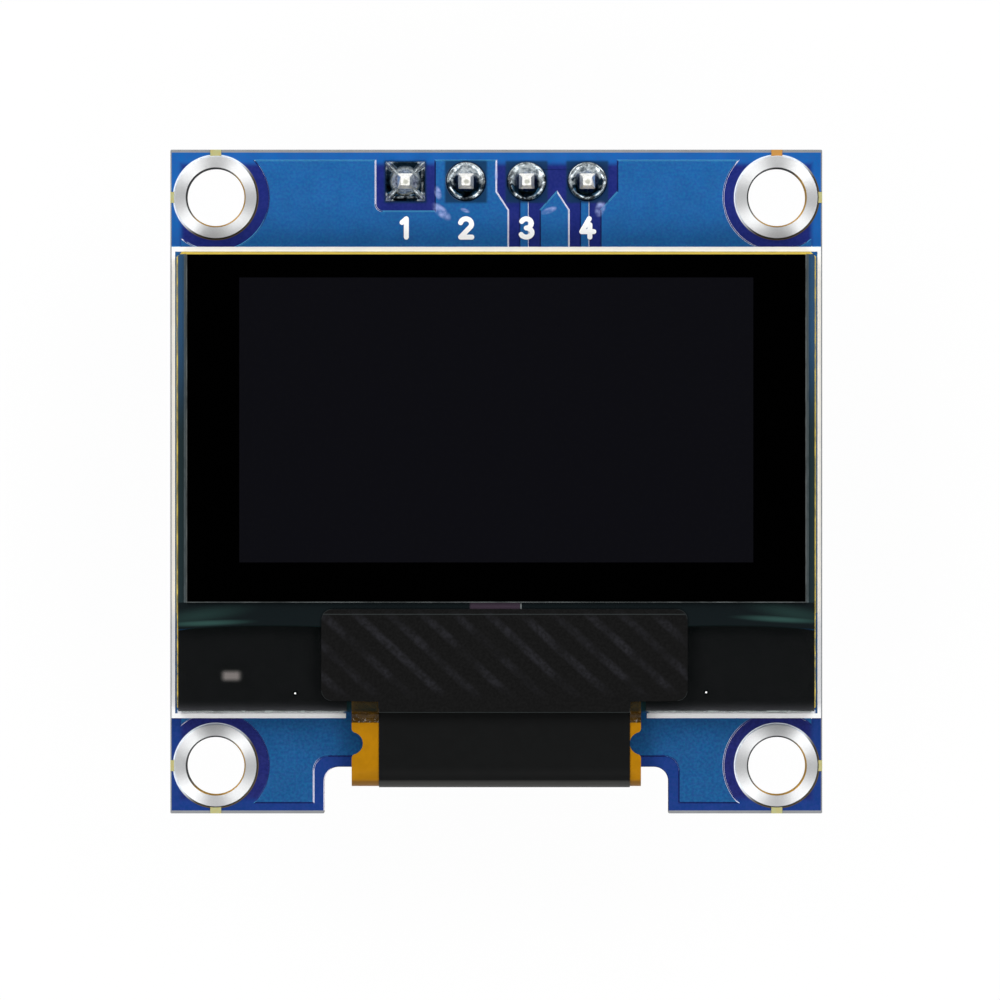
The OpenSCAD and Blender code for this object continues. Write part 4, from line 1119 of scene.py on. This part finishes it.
class OLED_OT_flex(bpy.types.Operator):
    """Finish the folded flex tail, its coverlay, the glue and the solder row"""
    bl_idname = "oled.flex"
    bl_label = "Flex tail"

    def execute(self, context):
        sizes, colours = context.scene.oled_sizes, context.scene.oled_colours
        # Cast polyimide film: glossy deep amber, with painted shade where it turns away at the fold, a little lighter
        # along a line at the top of the fold.
        paint(["flex_tail"], self.film("amber_polyimide_film", colours.amber, colours.amber_fold_shade))
        # Black polyimide coverlay: satin black, with a painted highlight where it turns away at the fold and a
        # brighter painted line at the top of the fold.
        paint(["coverlay"], self.film("black_coverlay_film", colours.coverlay, colours.coverlay_fold_highlight))
        paint(["glue_bead"], self.glue(colours))
        paint(["flex_solder_row"], bpy.data.materials["reflowed_tin_solder"])
        return {"FINISHED"}

    def film(self, name, flat, fold_shading):
        made, tree, place, x, y, z = start(name)
        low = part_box("flex_tail")[0] / MM
        up = facing(tree, 0, 0, 1)
        # Painted light and shade at the fold, chosen by the way the surface faces.
        bend = overlap(tree, within(tree, up, -1, 0.7, 0.06), within(tree, y, low.y - 1, low.y + 0.5))
        crest = overlap(tree, within(tree, up, 0.66, 0.76, 0.04), within(tree, y, low.y - 1, low.y + 0.5))
        base = tinted(tree, flat, place, 0.5, 0.93, 1.07, 4.0)
        finish(tree, Roughness=0.45, IOR=1.6, Specular_IOR_Level=0.07,
               Base_Color=coat(tree, base, [
            (bend, fold_shading), (overlap(tree, crest, 0.5), add(tree, "VectorMath", fold_shading, operation="SCALE", Scale=1.25))]),
               Normal=ripple(tree, place, 0.25, 0.004))
        return made

    def glue(self, colours):
        # Clear cured glue: glossy brown over the amber film, with bright glints.
        made, tree, place, x, y, z = start("clear_cured_glue")
        made.surface_render_method = "BLENDED"
        finish(tree, Roughness=0.1, IOR=1.5, Alpha=0.85,
               Base_Color=tinted(tree, colours.glue, place, 0.3, 0.6, 1.3, 3.0),
               Normal=ripple(tree, place, 0.3, 0.08))
        return made


class OLED_OT_small_parts(bpy.types.Operator):
    """Finish the chip parts, the regulator and the diode behind the board"""
    bl_idname = "oled.small_parts"
    bl_label = "Small parts"

    def execute(self, context):
        sizes, colours = context.scene.oled_sizes, context.scene.oled_colours
        nodes = sorted(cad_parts)
        paint([n for n in nodes if n.startswith("capacitor_")],
              self.ceramic("fired_tan_ceramic", colours.tan_ceramic, 0.45))
        paint([n for n in nodes if n.startswith("resistor_")],
              self.ceramic("glazed_black_ceramic", colours.black_ceramic, 0.25))
        paint(["regulator_body", "diode_body"], self.epoxy(colours))
        paint(["regulator_leads", "diode_leads"], bpy.data.materials["tinned_brass_pin"])
        paint(["chip_solder"], bpy.data.materials["reflowed_tin_solder"])
        soften([n for n in nodes if n.startswith(("capacitor_", "resistor_"))], sizes.edge_round, 2)
        soften(["regulator_body", "diode_body"], sizes.edge_round, 2)
        return {"FINISHED"}

    def ceramic(self, name, body, roughness):
        # Fired ceramic block with tinned ends: a fine even grain.
        made, tree, place, x, y, z = start(name)
        finish(tree, Roughness=roughness, IOR=1.6,
               Base_Color=tinted(tree, body, place, 0.08, 0.9, 1.1, 4.0),
               Normal=ripple(tree, place, 0.05, 0.004))
        return made

    def epoxy(self, colours):
        # Moulded epoxy case: matt black with the fine sparkle of its silica filler.
        made, tree, place, x, y, z = start("moulded_black_epoxy")
        finish(tree, Roughness=0.6, IOR=1.55,
               Base_Color=tinted(tree, colours.epoxy, place, 0.06, 0.8, 1.3, 4.0),
               Normal=ripple(tree, place, 0.05, 0.008))
        return made


class OLED_PT_module(bpy.types.Panel):
    """Lists the pieces of the module and their sizes and colours"""
    bl_idname = "OLED_PT_module"
    bl_label = "Small OLED Module"
    bl_space_type = "VIEW_3D"
    bl_region_type = "UI"
    bl_category = "OLED Module"

    def draw(self, context):
        for operator in OPERATORS:
            self.layout.operator(operator.bl_idname)
        for name in GROUPS:
            box = self.layout.box()
            group = getattr(context.scene, name)
            for key in group.bl_rna.properties.keys():
                if key not in ("rna_type", "name"):
                    box.prop(group, key)


OPERATORS = (OLED_OT_stage, OLED_OT_board, OLED_OT_rings, OLED_OT_header, OLED_OT_print,
             OLED_OT_panel, OLED_OT_screen, OLED_OT_ledge, OLED_OT_flex, OLED_OT_small_parts)
GROUPS = {"oled_sizes": ModuleSizes, "oled_colours": ModuleColours, "oled_stage": StageSettings}
CLASSES = (*GROUPS.values(), *OPERATORS, OLED_PT_module)


def register():
    for made in CLASSES:
        bpy.utils.register_class(made)
    for name, group in GROUPS.items():
        setattr(bpy.types.Scene, name, PointerProperty(type=group))


def unregister():
    for name in GROUPS:
        delattr(bpy.types.Scene, name)
    for made in reversed(CLASSES):
        bpy.utils.unregister_class(made)


def main():
    register()
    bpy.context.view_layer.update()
    bpy.ops.oled.stage()
    bpy.ops.oled.board()
    bpy.ops.oled.rings()
    bpy.ops.oled.header()
    bpy.ops.oled.print()
    bpy.ops.oled.panel()
    bpy.ops.oled.screen()
    bpy.ops.oled.ledge()
    bpy.ops.oled.flex()
    bpy.ops.oled.small_parts()


if __name__ == "__main__":
    main()
